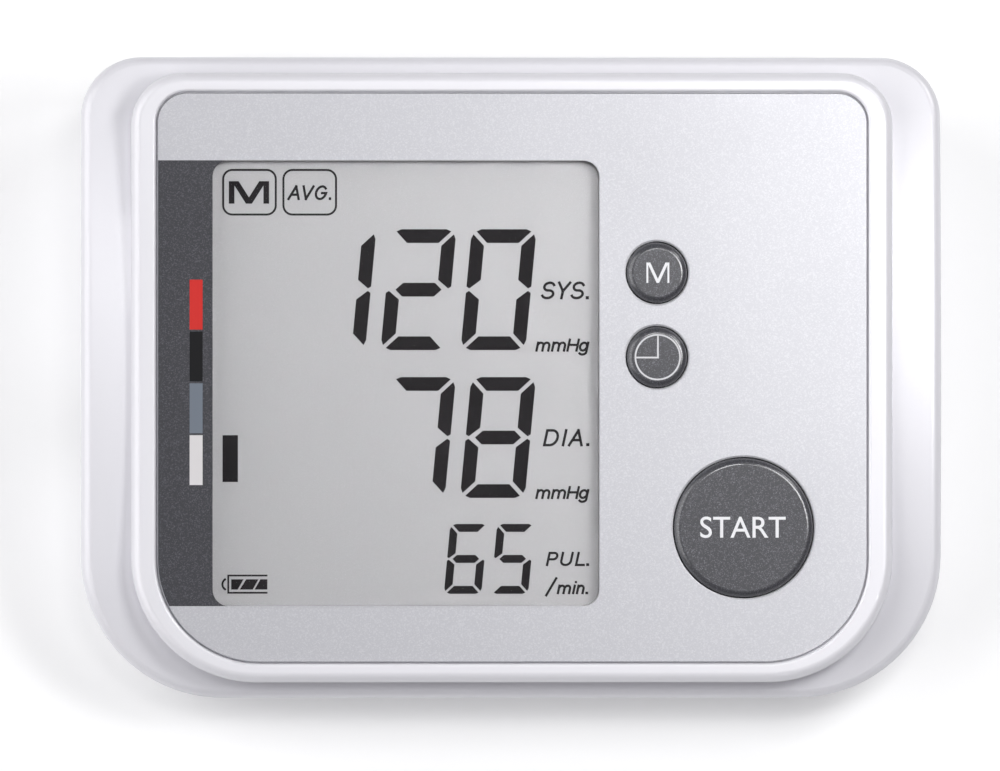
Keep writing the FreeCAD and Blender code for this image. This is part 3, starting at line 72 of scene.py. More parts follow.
press = next(joint for joint in frame["joints"] if joint["name"] == "start_press")
OUT = -np.array(press["axis"], float)
RIGHT = np.array((1.0, 0.0, 0.0))
UP = np.cross(OUT, RIGHT)
FACE = np.stack((RIGHT, UP, OUT))
panel_points = points_of(nodes["face_panel"].data) @ FACE.T
panel_middle = (panel_points.min(axis=0) + panel_points.max(axis=0)) / 2
panel_middle[2] = panel_points[:, 2].max()


def face_places(node):
    """All points of a node as places on the face, in millimetres."""
    return (points_of(nodes[node].data) @ FACE.T - panel_middle) / MM


def face_box(node):
    """Lowest and highest place of a node on the face, in millimetres."""
    places = face_places(node)
    return places.min(axis=0), places.max(axis=0)


def from_face(places):
    """Places on the face, in millimetres, as points of the part's frame."""
    return (np.asarray(places) * MM + panel_middle) @ FACE


# Surfaces
def slabs(outlines, low, high):
    """Flat plates: each outline is carried straight out of the face from the low to the high level, and each
    of the two rings that this gives is closed by one face. Outlines run anticlockwise."""
    outlines = np.asarray(outlines, float)
    count, size, _ = outlines.shape
    rings = np.broadcast_to(outlines[:, None], (count, 2, size, 2))
    levels = np.broadcast_to(np.array((low, high)).reshape(1, 2, 1, 1), (count, 2, size, 1))
    points = np.concatenate((rings, levels), axis=3).reshape(-1, 3)
    order = np.arange(2 * count * size).reshape(count, 2, size)
    after = np.roll(order, -1, axis=2)
    sides = np.stack((order[:, 0], after[:, 0], after[:, 1], order[:, 1]), axis=-1).reshape(-1, 4)
    faces = order[:, 1].tolist() + order[:, 0, ::-1].tolist() + sides.tolist()
    return points, faces


def line(path, width, low, high, closed):
    """A line of one width: a four-cornered profile is carried along the path, square to the mean of the
    directions before and after each point, with its width divided by the cosine of half the turn there. An open
    line reaches half its width past either end and is closed by a face there."""
    path = np.array(path, float)
    after = np.roll(path, -1, axis=0) - path
    if not closed:
        after[-1] = after[-2]
    after /= np.linalg.norm(after, axis=1, keepdims=True)
    before = np.roll(after, 1, axis=0)
    if not closed:
        before[0] = after[0]
    along = before + after
    along /= np.linalg.norm(along, axis=1, keepdims=True)
    left = np.stack((-along[:, 1], along[:, 0]), axis=1) / (along * after).sum(axis=1, keepdims=True)
    if not closed:
        path[0] -= along[0] * width / 2
        path[-1] += along[-1] * width / 2
    across = np.array((0.5, -0.5, -0.5, 0.5)) * width
    flat = path[:, None] + across[:, None] * left[:, None]
    levels = np.broadcast_to(np.array((low, low, high, high)).reshape(1, 4, 1), (len(path), 4, 1))
    points = np.concatenate((flat, levels), axis=2).reshape(-1, 3)
    order = np.arange(4 * len(path)).reshape(-1, 4)
    rows = np.concatenate((order, order[:1])) if closed else order
    turned = np.roll(rows, -1, axis=1)
    faces = np.stack((rows[:-1], turned[:-1], turned[1:], rows[1:]), axis=-1).reshape(-1, 4).tolist()
    if not closed:
        faces += [order[0, ::-1].tolist(), order[-1].tolist()]
    return points, faces


def rectangle(left, bottom, right, top):
    """Corners of a box, anticlockwise."""
    return [(left, bottom), (right, bottom), (right, top), (left, top)]


CORNER_STEPS = 10


def rounded_box(left, bottom, right, top, radius):
    """Closed path of a box with quarter circles of one radius at its corners, anticlockwise from its right."""
    turn = np.linspace(0, np.pi / 2, CORNER_STEPS) + np.arange(4)[:, None] * np.pi / 2
    middles = np.array(rectangle(left + radius, bottom + radius, right - radius, top - radius))[[2, 3, 0, 1]]
    arcs = middles[:, None] + radius * np.stack((np.cos(turn), np.sin(turn)), axis=-1)
    return arcs.reshape(-1, 2)


def arc(middle, radius, start, end, steps=20):
    """Points at even turns, in degrees, round a middle. An ellipse has a pair of radii."""
    turn = np.radians(np.linspace(start, end, steps))
    return np.asarray(middle) + np.asarray(radius) * np.stack((np.cos(turn), np.sin(turn)), axis=1)


def word(text, left, bottom, right, top, low, high, weight):
    """A word in the built-in letters, stretched to fill a box."""
    curve = bpy.data.curves.new("letters", "FONT")
    curve.body = text
    curve.extrude = 1.0
    curve.offset = weight
    curve.resolution_u = 6
    letters = bpy.data.objects.new("letters", curve)
    mesh = bpy.data.meshes.new_from_object(letters)
    shell = bmesh.new()
    shell.from_mesh(mesh)
    bmesh.ops.remove_doubles(shell, verts=shell.verts, dist=1e-5)
    shell.to_mesh(mesh)
    shell.free()
    points = points_of(mesh)
    faces = [list(polygon.vertices) for polygon in mesh.polygons]
    bpy.data.objects.remove(letters)
    bpy.data.curves.remove(curve)
    bpy.data.meshes.remove(mesh)
    least, most = points.min(axis=0), points.max(axis=0)
    near, far = np.array((left, bottom, low)), np.array((right, top, high))
    return near + (points - least) / (most - least) * (far - near), faces


def add_piece(name, shapes, body, material):
    """One piece of several shapes on the face, which rides on a body."""
    starts = np.cumsum([0] + [len(points) for points, _ in shapes])
    points = from_face(np.concatenate([points for points, _ in shapes]))
    faces = [[start + n for n in face] for start, (_, some) in zip(starts, shapes) for face in some]
    mesh = bpy.data.meshes.new(name)
    mesh.from_pydata(points.tolist(), [], faces)
    mesh.materials.append(material)
    piece = bpy.data.objects.new(name, mesh)
    bpy.context.collection.objects.link(piece)
    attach(piece, body)
    return piece


def letter_m(left, bottom, right, top, leg, shoulder, foot, notch):
    """Outline of an M in a box. The width of a leg, of the flat at the top of a leg and of the middle's foot,
    and the height of the middle's notch, are shares of the box. The slanted strokes have parallel edges."""
    inner = (0.5 - foot / 2 - leg) * (1 - notch) / (0.5 - shoulder)
    half = np.array([
        (0.5, notch), (shoulder, 1), (0, 1), (0, 0), (leg, 0), (leg, inner), (0.5 - foot / 2, 0),
    ])
    other = (half[:0:-1] * (-1, 1)) + (1, 0)
    return np.concatenate((half, other)) * (right - left, top - bottom) + (left, bottom)


# Letters drawn with a stroke of one width, each in a box of width 1 and height 1
STEM, CROSS = [(0, 0), (0, 1)], [(0, 0.52), (1, 0.52)]
LETTERS = {
    "A": [[(0, 0), (0.5, 1)], [(1, 0), (0.5, 1)], [(0.2, 0.34), (0.8, 0.34)]],
    "D": [[(0, 0.5), (0, 1), *arc((0.45, 0.5), (0.55, 0.5), 90, -90), (0, 0), (0, 0.5)]],
    "G": [[*arc((0.5, 0.5), (0.5, 0.5), 43, 345), (1, 0.47), (0.6, 0.47)]],
    "H": [STEM, [(1, 0), (1, 1)], CROSS],
    "I": [STEM],
    "L": [[(0, 1), (0, 0), (1, 0)]],
    "P": [[(0, 0), (0, 1), *arc((0.6, 0.735), (0.4, 0.265), 90, -90), (0, 0.47)]],
    "S": [[*arc((0.5, 0.745), (0.45, 0.255), 25, 250), *arc((0.5, 0.255), (0.5, 0.255), 70, -155)]],
    "U": [[(0, 1), *arc((0.5, 0.35), (0.5, 0.35), 180, 360), (1, 1)]],
    "V": [[(0, 1), (0.5, 0)], [(1, 1), (0.5, 0)]],
    "Y": [[(0, 1), (0.5, 0.45), (0.5, 0)], [(1, 1), (0.5, 0.45)]],
    "g": [arc((0.47, 0.5), (0.47, 0.5), 0, 360), [(1, 1), *arc((0.52, -0.18), (0.48, 0.33), 0, -145)]],
    "m": [
        STEM,
        [*arc((0.25, 0.6), (0.25, 0.4), 180, 0), (0.5, 0)],
        [*arc((0.75, 0.6), (0.25, 0.4), 180, 0), (1, 0)],
    ],
    "n": [STEM, [*arc((0.5, 0.58), (0.5, 0.42), 180, 0), (1, 0)]],
}
LETTER_LEAN = 0.215


def lettered(places, bottom, top, stroke, low, high):
    """Leaning letters between a bottom and a top line. A place is a letter, its left end and its width."""
    shapes = []
    for letter, left, width in places:
        for path in LETTERS[letter]:
            flat = np.array(path) * (width, top - bottom)
            flat += np.stack((left + LETTER_LEAN * flat[:, 1], np.full(len(flat), bottom)), axis=1)
            shapes.append(line(flat, stroke, low, high, closed=False))
    return shapes


# Digits of seven bars
BARS = {"0": "abcdef", "1": "bc", "2": "abged", "5": "afgcd", "6": "afgcde", "7": "abc", "8": "abcdefg"}
DIGIT_WIDTH, BAR_WIDTH, DIGIT_LEAN = 0.537, 0.114, 0.0933


def digit_bars():
    """Outlines of the seven bars of a digit of height 1, by letter.

    Each bar has six corners. The top bar a and the upper left bar f meet on a diagonal with a gap, and their
    outer corners are cut. The rest are mirror images of these two; the middle bar g has a point at each end.
    """
    w, t = DIGIT_WIDTH, BAR_WIDTH
    mitre, cut, flat = 0.0234, 0.018, 0.083
    a = np.array([
        (mitre + t, 1 - t), (w - mitre - t, 1 - t), (w - mitre - cut, 1 - cut),
        (w - flat, 1), (flat, 1), (mitre + cut, 1 - cut),
    ])
    outer_end, point, inner_end = 0.5264, (0.025, 0.51), 0.581
    f = np.array([
        (0, 1 - flat), (0, outer_end), point, (t, inner_end), (t, 1 - t - mitre), (cut, 1 - mitre - cut),
    ])
    tip, shoulder = 0.077, 0.137
    g = np.array([
        (tip, 0.5), (shoulder, 0.5 - t / 2), (w - shoulder, 0.5 - t / 2),
        (w - tip, 0.5), (w - shoulder, 0.5 + t / 2), (shoulder, 0.5 + t / 2),
    ])
    side, over = np.array((-1, 1)), np.array((1, -1))
    to_right, to_bottom = np.array((w, 0)), np.array((0, 1))
    b, d, e = (to_right + f * side)[::-1], (to_bottom + a * over)[::-1], (to_bottom + f * over)[::-1]
    return {"a": a, "b": b, "c": (to_right + e * side)[::-1], "d": d, "e": e, "f": f, "g": g}


def number(digits, left, bottom, height, pitch):
    """Outlines of the lit bars of a number whose digits lean to the right."""
    bars = digit_bars()
    outlines = np.array([
        bars[bar] + (place * pitch / height, 0)
        for place, digit in enumerate(digits) if digit != " "
        for bar in BARS[digit]
    ])
    outlines[..., 0] += DIGIT_LEAN * outlines[..., 1]
    return outlines * height + (left, bottom)


# Materials
def colour(red, green, blue):
    """A colour written as on a screen, from 0 to 255, as linear light."""
    share = np.array((red, green, blue)) / 255
    light = np.where(share <= 0.04045, share / 12.92, ((share + 0.055) / 1.055) ** 2.4)
    return (*light.tolist(), 1.0)


def add(tree, kind, inputs=None, **settings):
    """A node with its settings; an input is a value or another node's output."""
    made = tree.nodes.new(kind)
    for name, value in settings.items():
        setattr(made, name, value)
    for name, value in (inputs or {}).items():
        if isinstance(value, bpy.types.NodeSocket):
            tree.links.new(value, made.inputs[name])
        else:
            made.inputs[name].default_value = value
    return made


def new_group(name, inputs, outputs):
    """An empty shader node group with named sockets, and its two ends."""
    tree = bpy.data.node_groups.new(name, "ShaderNodeTree")
    for label, kind, value in inputs:
        socket = tree.interface.new_socket(label, in_out="INPUT", socket_type=kind)
        socket.default_value = value
    for label, kind in outputs:
        tree.interface.new_socket(label, in_out="OUTPUT", socket_type=kind)
    return tree, tree.nodes.new("NodeGroupInput").outputs, tree.nodes.new("NodeGroupOutput").inputs


def grain_group():
    """Fine relief of a spark-worn mould: noise at the grain's size, with a third as much at a third of the
    size."""
    finer_by, fine_share = 3.1, 0.33
    tree, given, result = new_group(
        "moulded_grain",
        [("Grains per Metre", "NodeSocketFloat", 2000.0)],
        [("Height", "NodeSocketFloat")],
    )
    grains = given["Grains per Metre"]
    place = add(tree, "ShaderNodeTexCoord").outputs["Object"]
    coarse = add(tree, "ShaderNodeTexNoise", {"Vector": place, "Scale": grains, "Detail": 1.0})
    finer = add(tree, "ShaderNodeMath", {0: grains, 1: finer_by}, operation="MULTIPLY")
    fine = add(tree, "ShaderNodeTexNoise", {"Vector": place, "Scale": finer.outputs[0], "Detail": 1.0})
    share = add(tree, "ShaderNodeMath", {0: fine.outputs["Fac"], 1: fine_share}, operation="MULTIPLY")
    both = add(tree, "ShaderNodeMath", {0: coarse.outputs["Fac"], 1: share.outputs[0]}, operation="ADD")
    tree.links.new(both.outputs[0], result["Height"])
    return tree


def handling_group():
    """Slow change of gloss over a surface that hands touch: noise that is 30 mm across."""
    tree, given, result = new_group(
        "handling_marks",
        [("Roughness", "NodeSocketFloat", 0.4), ("Spread", "NodeSocketFloat", 0.06)],
        [("Roughness", "NodeSocketFloat")],
    )
    place = add(tree, "ShaderNodeTexCoord").outputs["Object"]
    wide = add(tree, "ShaderNodeTexNoise", {"Vector": place, "Scale": 33.0, "Detail": 2.0})
    low = add(tree, "ShaderNodeMath", {0: given["Roughness"], 1: given["Spread"]}, operation="SUBTRACT")
    high = add(tree, "ShaderNodeMath", {0: given["Roughness"], 1: given["Spread"]}, operation="ADD")
    level = add(
        tree, "ShaderNodeMapRange",
        {"Value": wide.outputs["Fac"], "To Min": low.outputs[0], "To Max": high.outputs[0]},
    )
    tree.links.new(level.outputs[0], result["Roughness"])
    return tree


def fleck_group():
    """Flakes in a paint: cells of the flakes' size, of which those with a high random value are flakes."""
    tree, given, result = new_group(
        "paint_flakes",
        [
            ("Flakes per Metre", "NodeSocketFloat", 5000.0),
            ("Share", "NodeSocketFloat", 0.2),
            ("Paint", "NodeSocketColor", (0.1, 0.1, 0.1, 1)),
            ("Flake", "NodeSocketColor", (0.3, 0.3, 0.3, 1)),
        ],
        [("Color", "NodeSocketColor"), ("Mask", "NodeSocketFloat")],
    )
    place = add(tree, "ShaderNodeTexCoord").outputs["Object"]
    cells = add(tree, "ShaderNodeTexVoronoi", {"Vector": place, "Scale": given["Flakes per Metre"]})
    chance = add(tree, "ShaderNodeSeparateColor", {"Color": cells.outputs["Color"]}).outputs["Red"]
    limit = add(tree, "ShaderNodeMath", {0: 1.0, 1: given["Share"]}, operation="SUBTRACT")
    mask = add(tree, "ShaderNodeMapRange", {"Value": chance, "From Min": limit.outputs[0], "From Max": 1.0})
    mix = add(
        tree, "ShaderNodeMix",
        {"Factor": mask.outputs[0], "A": given["Paint"], "B": given["Flake"]}, data_type="RGBA",
    )
    mixed = next(socket for socket in mix.outputs if socket.type == "RGBA")
    tree.links.new(mixed, result["Color"])
    tree.links.new(mask.outputs[0], result["Mask"])
    return tree


grain, handling, flecks = grain_group(), handling_group(), fleck_group()


def new_material(name):
    """A material and its node tree, with one Principled shader."""
    material = bpy.data.materials.new(name)
    material.use_nodes = True
    tree = material.node_tree
    return material, tree, tree.nodes["Principled BSDF"]


def set_inputs(shader, values):
    """Plain values on a shader's own sockets."""
    for name, value in values.items():
        shader.inputs[name].default_value = value


def use_group(tree, group, inputs):
    """A shared effect, placed in a material with values of its own."""
    made = add(tree, "ShaderNodeGroup", node_tree=group)
    set_inputs(made, inputs)
    return made


def roughen(tree, shader, roughness, spread):
    """Lets the gloss change slowly over the surface."""
    marks = use_group(tree, handling, {"Roughness": roughness, "Spread": spread})
    tree.links.new(marks.outputs["Roughness"], shader.inputs["Roughness"])


def emboss(tree, shader, grains_per_metre, depth):
    """Gives the surface a fine relief."""
    relief = use_group(tree, grain, {"Grains per Metre": grains_per_metre})
    bump = add(
        tree, "ShaderNodeBump",
        {"Height": relief.outputs["Height"], "Strength": 0.3, "Distance": depth},
    )
    tree.links.new(bump.outputs["Normal"], shader.inputs["Normal"])


def moulded(name, base, roughness, extra=None, grains=2500.0, depth=0.00002):
    """Moulded plastic or rubber, or an ink."""
    material, tree, shader = new_material(name)
    set_inputs(shader, {"Base Color": base, **(extra or {})})
    roughen(tree, shader, roughness, 0.05)
    emboss(tree, shader, grains, depth)
    return material


def spread_flakes(tree, shader, paint, flake, share, per_metre):
    """Gives the shader the colour of a paint with flakes in it, and returns the flakes' node."""
    flakes = use_group(tree, flecks, {
        "Paint": paint, "Flake": flake, "Share": share, "Flakes per Metre": per_metre,
    })
    tree.links.new(flakes.outputs["Color"], shader.inputs["Base Color"])
    return flakes


def flecked(name, paint, flake, share, per_metre, roughness, extra=None):
    """Dark paint with metal flakes in it."""
    material, tree, shader = new_material(name)
    flakes = spread_flakes(tree, shader, paint, flake, share, per_metre)
    tree.links.new(flakes.outputs["Mask"], shader.inputs["Metallic"])
    set_inputs(shader, extra or {})
    roughen(tree, shader, roughness, 0.05)
    emboss(tree, shader, 3500.0, 0.00002)
    return material


def metal(name, base, roughness, squeeze=(1.0, 1.0, 12.0)):
    """Metal with fine streaks: noise that is squeezed along one axis changes the gloss and the relief."""
    spread = 0.07
    material, tree, shader = new_material(name)
    set_inputs(shader, {"Base Color": base, "Metallic": 1.0})
    place = add(tree, "ShaderNodeTexCoord").outputs["Object"]
    squeezed = add(tree, "ShaderNodeMapping", {"Vector": place, "Scale": squeeze})
    noise = add(tree, "ShaderNodeTexNoise", {"Vector": squeezed.outputs[0], "Scale": 900.0, "Detail": 2.0})
    gloss = add(
        tree, "ShaderNodeMapRange",
        {"Value": noise.outputs["Fac"], "To Min": roughness - spread, "To Max": roughness + spread},
    )
    bump = add(
        tree, "ShaderNodeBump",
        {"Height": noise.outputs["Fac"], "Strength": 0.15, "Distance": 0.00001},
    )
    tree.links.new(gloss.outputs[0], shader.inputs["Roughness"])
    tree.links.new(bump.outputs["Normal"], shader.inputs["Normal"])
    return material


def window_clear():
    """Clear window with a coat that takes most of its mirror away. Lamps shine through it."""
    material, tree, shader = new_material("window_clear")
    set_inputs(shader, {
        "Base Color": colour(250, 250, 252), "Transmission Weight": 1.0, "IOR": 1.15, "Roughness": 0.03,
    })
    shadow = add(tree, "ShaderNodeLightPath").outputs["Is Shadow Ray"]
    through = add(tree, "ShaderNodeBsdfTransparent")
    mix = add(tree, "ShaderNodeMixShader", {"Fac": shadow})
    tree.links.new(shader.outputs[0], mix.inputs[1])
    tree.links.new(through.outputs[0], mix.inputs[2])
    tree.links.new(mix.outputs[0], tree.nodes["Material Output"].inputs["Surface"])
    return material


def silvered(name, paint, flake, per_metre, metallic, roughness):
    """Silver paint or the silvered back of a display, with very fine flakes."""
    material, tree, shader = new_material(name)
    spread_flakes(tree, shader, paint, flake, 0.5, per_metre)
    set_inputs(shader, {"Metallic": metallic})
    roughen(tree, shader, roughness, 0.03)
    return material


def contact_rubber():
    """Rubber strip of thin layers that conduct and insulate in turn."""
    material, tree, shader = new_material("contact_rubber")
    place = add(tree, "ShaderNodeTexCoord").outputs["Object"]
    wave = add(tree, "ShaderNodeTexWave", {"Vector": place, "Scale": 800.0}, bands_direction="X")
    ramp = add(tree, "ShaderNodeValToRGB", {"Fac": wave.outputs["Fac"]})
    ramp.color_ramp.elements[0].color = colour(28, 28, 30)
    ramp.color_ramp.elements[1].color = colour(214, 206, 190)
    tree.links.new(ramp.outputs["Color"], shader.inputs["Base Color"])
    roughen(tree, shader, 0.7, 0.05)
    return material


def board_green():
    """Circuit board: green lacquer over copper tracks, which stand a little proud of it."""
    material, tree, shader = new_material("board_green")
    place = add(tree, "ShaderNodeTexCoord").outputs["Object"]
    cells = add(
        tree, "ShaderNodeTexVoronoi", {"Vector": place, "Scale": 260.0}, feature="DISTANCE_TO_EDGE"
    )
    track = add(
        tree, "ShaderNodeMapRange", {"Value": cells.outputs["Distance"], "From Min": 0.05, "From Max": 0.09}
    )
    ramp = add(tree, "ShaderNodeValToRGB", {"Fac": track.outputs[0]})
    ramp.color_ramp.elements[0].color = colour(64, 132, 78)
    ramp.color_ramp.elements[1].color = colour(24, 86, 50)
    tree.links.new(ramp.outputs["Color"], shader.inputs["Base Color"])
    bump = add(
        tree, "ShaderNodeBump", {"Height": track.outputs[0], "Strength": 0.4, "Distance": 0.00003}, invert=True
    )
    tree.links.new(bump.outputs["Normal"], shader.inputs["Normal"])
    roughen(tree, shader, 0.32, 0.05)
    return material


def cell_wrap():
    """Printed sleeve of a dry cell: dark, with a copper-coloured band towards its positive end."""
    material, tree, shader = new_material("cell_wrap")
    low, high = (corner[1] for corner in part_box("battery_1"))
    place = add(tree, "ShaderNodeTexCoord").outputs["Object"]
    along = add(tree, "ShaderNodeSeparateXYZ", {"Vector": place}).outputs["Y"]
    share = add(tree, "ShaderNodeMapRange", {"Value": along, "From Min": low, "From Max": high})
    ramp = add(tree, "ShaderNodeValToRGB", {"Fac": share.outputs[0]})
    ramp.color_ramp.interpolation = "CONSTANT"
    ramp.color_ramp.elements[0].color = colour(46, 48, 54)
    ramp.color_ramp.elements[1].position = 0.72
    ramp.color_ramp.elements[1].color = colour(176, 112, 66)
    tree.links.new(ramp.outputs["Color"], shader.inputs["Base Color"])
    set_inputs(shader, {"Metallic": 0.6})
    roughen(tree, shader, 0.34, 0.06)
    return material


finishes = {
    "casing_white": moulded(
        "casing_white", colour(236, 235, 240), 0.36, {"Metallic": 0.1, "Coat Weight": 0.15}, grains=1600.0
    ),
    "panel_silver": silvered("panel_silver", colour(192, 192, 197), colour(204, 204, 208), 5000.0, 0.6, 0.46),
    "strip_grey": flecked("strip_grey", colour(52, 52, 58), colour(102, 102, 108), 0.35, 6500.0, 0.5),
    "window_clear": window_clear(),
    "display_grey": silvered("display_grey", colour(146, 145, 145), colour(151, 150, 150), 9000.0, 0.7, 0.42),
    "frame_black": moulded("frame_black", colour(30, 30, 32), 0.5),
    "contact_rubber": contact_rubber(),
    "button_grey": flecked(
        "button_grey", colour(61, 61, 66), colour(116, 116, 122), 0.3, 7000.0, 0.42,
        {"Coat Weight": 0.9, "Coat Roughness": 0.14, "Coat IOR": 1.6},
    ),
    "dome_rubber": moulded("dome_rubber", colour(198, 198, 200), 0.65, {"Subsurface Weight": 0.2}),
    "board_green": board_green(),
    "chip_black": moulded("chip_black", colour(34, 34, 36), 0.55, grains=6000.0),
    "plug_cream": moulded("plug_cream", colour(226, 216, 192), 0.45),
    "can_aluminium": metal("can_aluminium", colour(206, 208, 210), 0.35),
    "motor_steel": metal("motor_steel", colour(182, 184, 188), 0.33, squeeze=(1.0, 14.0, 1.0)),
    "pump_black": moulded("pump_black", colour(38, 38, 41), 0.48),
    "valve_blue": moulded("valve_blue", colour(44, 66, 118), 0.42),
    "hose_silicone": moulded(
        "hose_silicone", colour(218, 220, 218), 0.45, {"Transmission Weight": 0.35, "Subsurface Weight": 0.1}
    ),
    "socket_grey": moulded("socket_grey", colour(96, 97, 102), 0.45),
    "pin_brass": metal("pin_brass", colour(206, 178, 110), 0.28),
    "cell_wrap": cell_wrap(),
    "contact_nickel": metal("contact_nickel", colour(198, 196, 188), 0.3),
    "foot_rubber": moulded("foot_rubber", colour(52, 52, 54), 0.8, grains=4000.0, depth=0.00004),
    "screw_steel": metal("screw_steel", colour(172, 174, 178), 0.36),
    "wire_red": moulded("wire_red", colour(178, 36, 34), 0.45),
}
for subpart in frame["record"]["subparts"]:
    for slot in nodes[subpart["node"]].material_slots:
        slot.material = finishes[subpart["material_slot"]]

INK_GRAIN = {"grains": 6000.0, "depth": 0.000005}
ink_black = moulded("ink_black", colour(32, 30, 31), 0.8, {"Specular IOR Level": 0.1}, **INK_GRAIN)
print_white = moulded("print_white", colour(236, 236, 239), 0.5, **INK_GRAIN)
print_grey = moulded("print_grey", colour(214, 214, 217), 0.5, **INK_GRAIN)
bar_red, bar_black, bar_blue, bar_white = (
    moulded(name, base, 0.6, {"Specular IOR Level": 0.15}, **INK_GRAIN)
    for name, base in [
        ("bar_red", colour(212, 54, 50)), ("bar_black", colour(28, 28, 30)),
        ("bar_blue", colour(118, 126, 137)), ("bar_white", colour(222, 219, 220)),
    ]
)

# Reading on the display, a film in the gap between its glass and the window
FILM_THICKNESS, PRINT_THICKNESS = 0.05, 0.03
CAPITAL_STROKE, STROKE, BOX_LINE, BOX_RADIUS = 0.46, 0.42, 0.36, 1.6
LARGE_DIGITS, SMALL_DIGITS = {"height": 21.35, "pitch": 14.15}, {"height": 12.35, "pitch": 8.28}
UNIT_LETTERS, UNIT_CAPITAL = [("m", 4.38, 2.08), ("m", 7.14, 2.10), ("g", 11.94, 1.29)], [("H", 9.86, 1.59)]
film_low = face_box("display_glass")[1][2]
film = (film_low, film_low + FILM_THICKNESS)


def add_reading(name, shapes):
    """A dark sign in the display's film."""
    add_piece(name, shapes, "casing", ink_black)


add_reading("reading_digits", [
    slabs(number("120", left=-37.35, bottom=4.85, **LARGE_DIGITS), *film),
    slabs(number(" 78", left=-37.45, bottom=-21.26, **LARGE_DIGITS), *film),
    slabs(number("65", left=-12.00, bottom=-38.20, **SMALL_DIGITS), *film),
])
add_reading("reading_words", [
    *lettered([("S", 5.25, 1.92), ("Y", 7.83, 1.91), ("S", 10.46, 1.92)], 14.04, 16.75, CAPITAL_STROKE, *film),
    *lettered(UNIT_LETTERS, 4.78, 6.16, STROKE, *film),
    *lettered(UNIT_CAPITAL, 4.78, 6.69, STROKE, *film),
    *lettered([("D", 5.75, 2.08), ("I", 9.07, 0), ("A", 10.16, 2.17)], -11.93, -9.33, CAPITAL_STROKE, *film),
    *lettered(UNIT_LETTERS, -21.25, -19.90, STROKE, *film),
    *lettered(UNIT_CAPITAL, -21.25, -19.37, STROKE, *film),
    *lettered([("P", 6.25, 1.46), ("U", 8.61, 1.71), ("L", 11.38, 1.34)], -33.10, -30.98, STROKE, *film),
    *lettered([("m", 8.17, 1.97), ("I", 10.87, 0), ("n", 11.54, 0.99)], -38.06, -36.77, STROKE, *film),
    line([(6.10, -38.46), (7.87, -35.46)], STROKE, *film, closed=False),
    slabs([
        rectangle(13.07, 13.82, 13.64, 14.39), rectangle(13.16, -12.12, 13.73, -11.57),
        rectangle(13.16, -33.29, 13.69, -32.80), rectangle(13.02, -38.28, 13.51, -37.82),
        rectangle(11.15, -36.32, 11.55, -35.94),
    ], *film),
])
add_reading("memory_sign", [
    line(rounded_box(-50.96, 28.78, -41.68, 36.65, BOX_RADIUS), BOX_LINE, *film, closed=True),
    slabs([letter_m(-49.97, 30.70, -42.86, 34.67, leg=0.14, shoulder=0.245, foot=0.15, notch=0.28)], *film),
])
add_reading("average_sign", [
    line(rounded_box(-40.33, 28.78, -31.04, 36.65, BOX_RADIUS), BOX_LINE, *film, closed=True),
    *lettered([("A", -39.43, 1.78), ("V", -37.23, 1.74), ("G", -34.80, 1.78)], 31.53, 33.75, STROKE, *film),
    slabs([rectangle(-32.33, 31.35, -31.89, 31.83)], *film),
])
add_reading("range_marker", [slabs([rectangle(-51.08, -18.44, -48.36, -10.16)], *film)])
add_reading("battery_sign", [
    slabs([[
        (-50.23, -38.15), (-43.14, -38.15), (-43.14, -37.83), (-49.91, -37.83),
        (-49.91, -35.11), (-43.14, -35.11), (-43.14, -34.79), (-50.23, -34.79),
    ]], *film),
    slabs([
        [(-49.55, -37.42), (-48.40, -37.42), (-47.36, -35.61), (-49.55, -35.61)],
        [(-48.05, -37.42), (-45.74, -37.42), (-44.73, -35.61), (-46.90, -35.61)],
        [(-45.43, -37.42), (-43.16, -37.42), (-43.16, -35.61), (-44.39, -35.61)],
    ], *film),
    line(arc((-50.05, -36.50), 1.05, 124, 236, 16), BOX_LINE, *film, closed=False),
])

# Printed scale beside the window
strip_top = face_box("scale_strip")[1][2]
BAR_LEFT, BAR_RIGHT, BAR_TOP, BAR_PITCH, BAR_LENGTH = -56.95, -54.66, 17.26, 9.14, 8.79
for step, (name, material) in enumerate([
    ("scale_bar_high", bar_red), ("scale_bar_raised", bar_black),
    ("scale_bar_normal", bar_blue), ("scale_bar_good", bar_white),
]):
    top = BAR_TOP - step * BAR_PITCH
    outline = rectangle(BAR_LEFT, top - BAR_LENGTH, BAR_RIGHT, top)
    shape = slabs([outline], strip_top, strip_top + PRINT_THICKNESS)
    add_piece(name, [shape], "casing", material)


# Signs on the buttons, drawn from the middle of each cap's top
PRINT = (0, PRINT_THICKNESS)
CLOCK_MIDDLE, CLOCK_RADIUS, CLOCK_STROKE = (0.1, 0), 3.94, 0.29


def add_sign(name, button, shapes, material):
    """A sign printed on a button's cap."""
    low, high = face_box(button)
    cap = np.array((*(low[:2] + high[:2]) / 2, high[2]))
    add_piece(name, [(points + cap, faces) for points, faces in shapes], button, material)


add_sign("start_word", "start_button", [
    word("START", -7.70, -1.80, 7.40, 1.98, *PRINT, weight=0.004),
], print_white)
add_sign("memory_letter", "memory_button", [
    slabs([letter_m(-1.90, -1.80, 2.15, 1.80, leg=0.083, shoulder=0.168, foot=0.105, notch=0.2)], *PRINT),
], print_white)
add_sign("clock_face", "clock_button", [
    line(arc(CLOCK_MIDDLE, CLOCK_RADIUS, 0, 354, 60), CLOCK_STROKE, *PRINT, closed=True),
    slabs([[
        (-3.75, -0.21), (0.29, -0.21), (0.29, 3.85), (-0.01, 3.85), (-0.01, 0.09), (-3.75, 0.09),
    ]], *PRINT),
], print_grey)


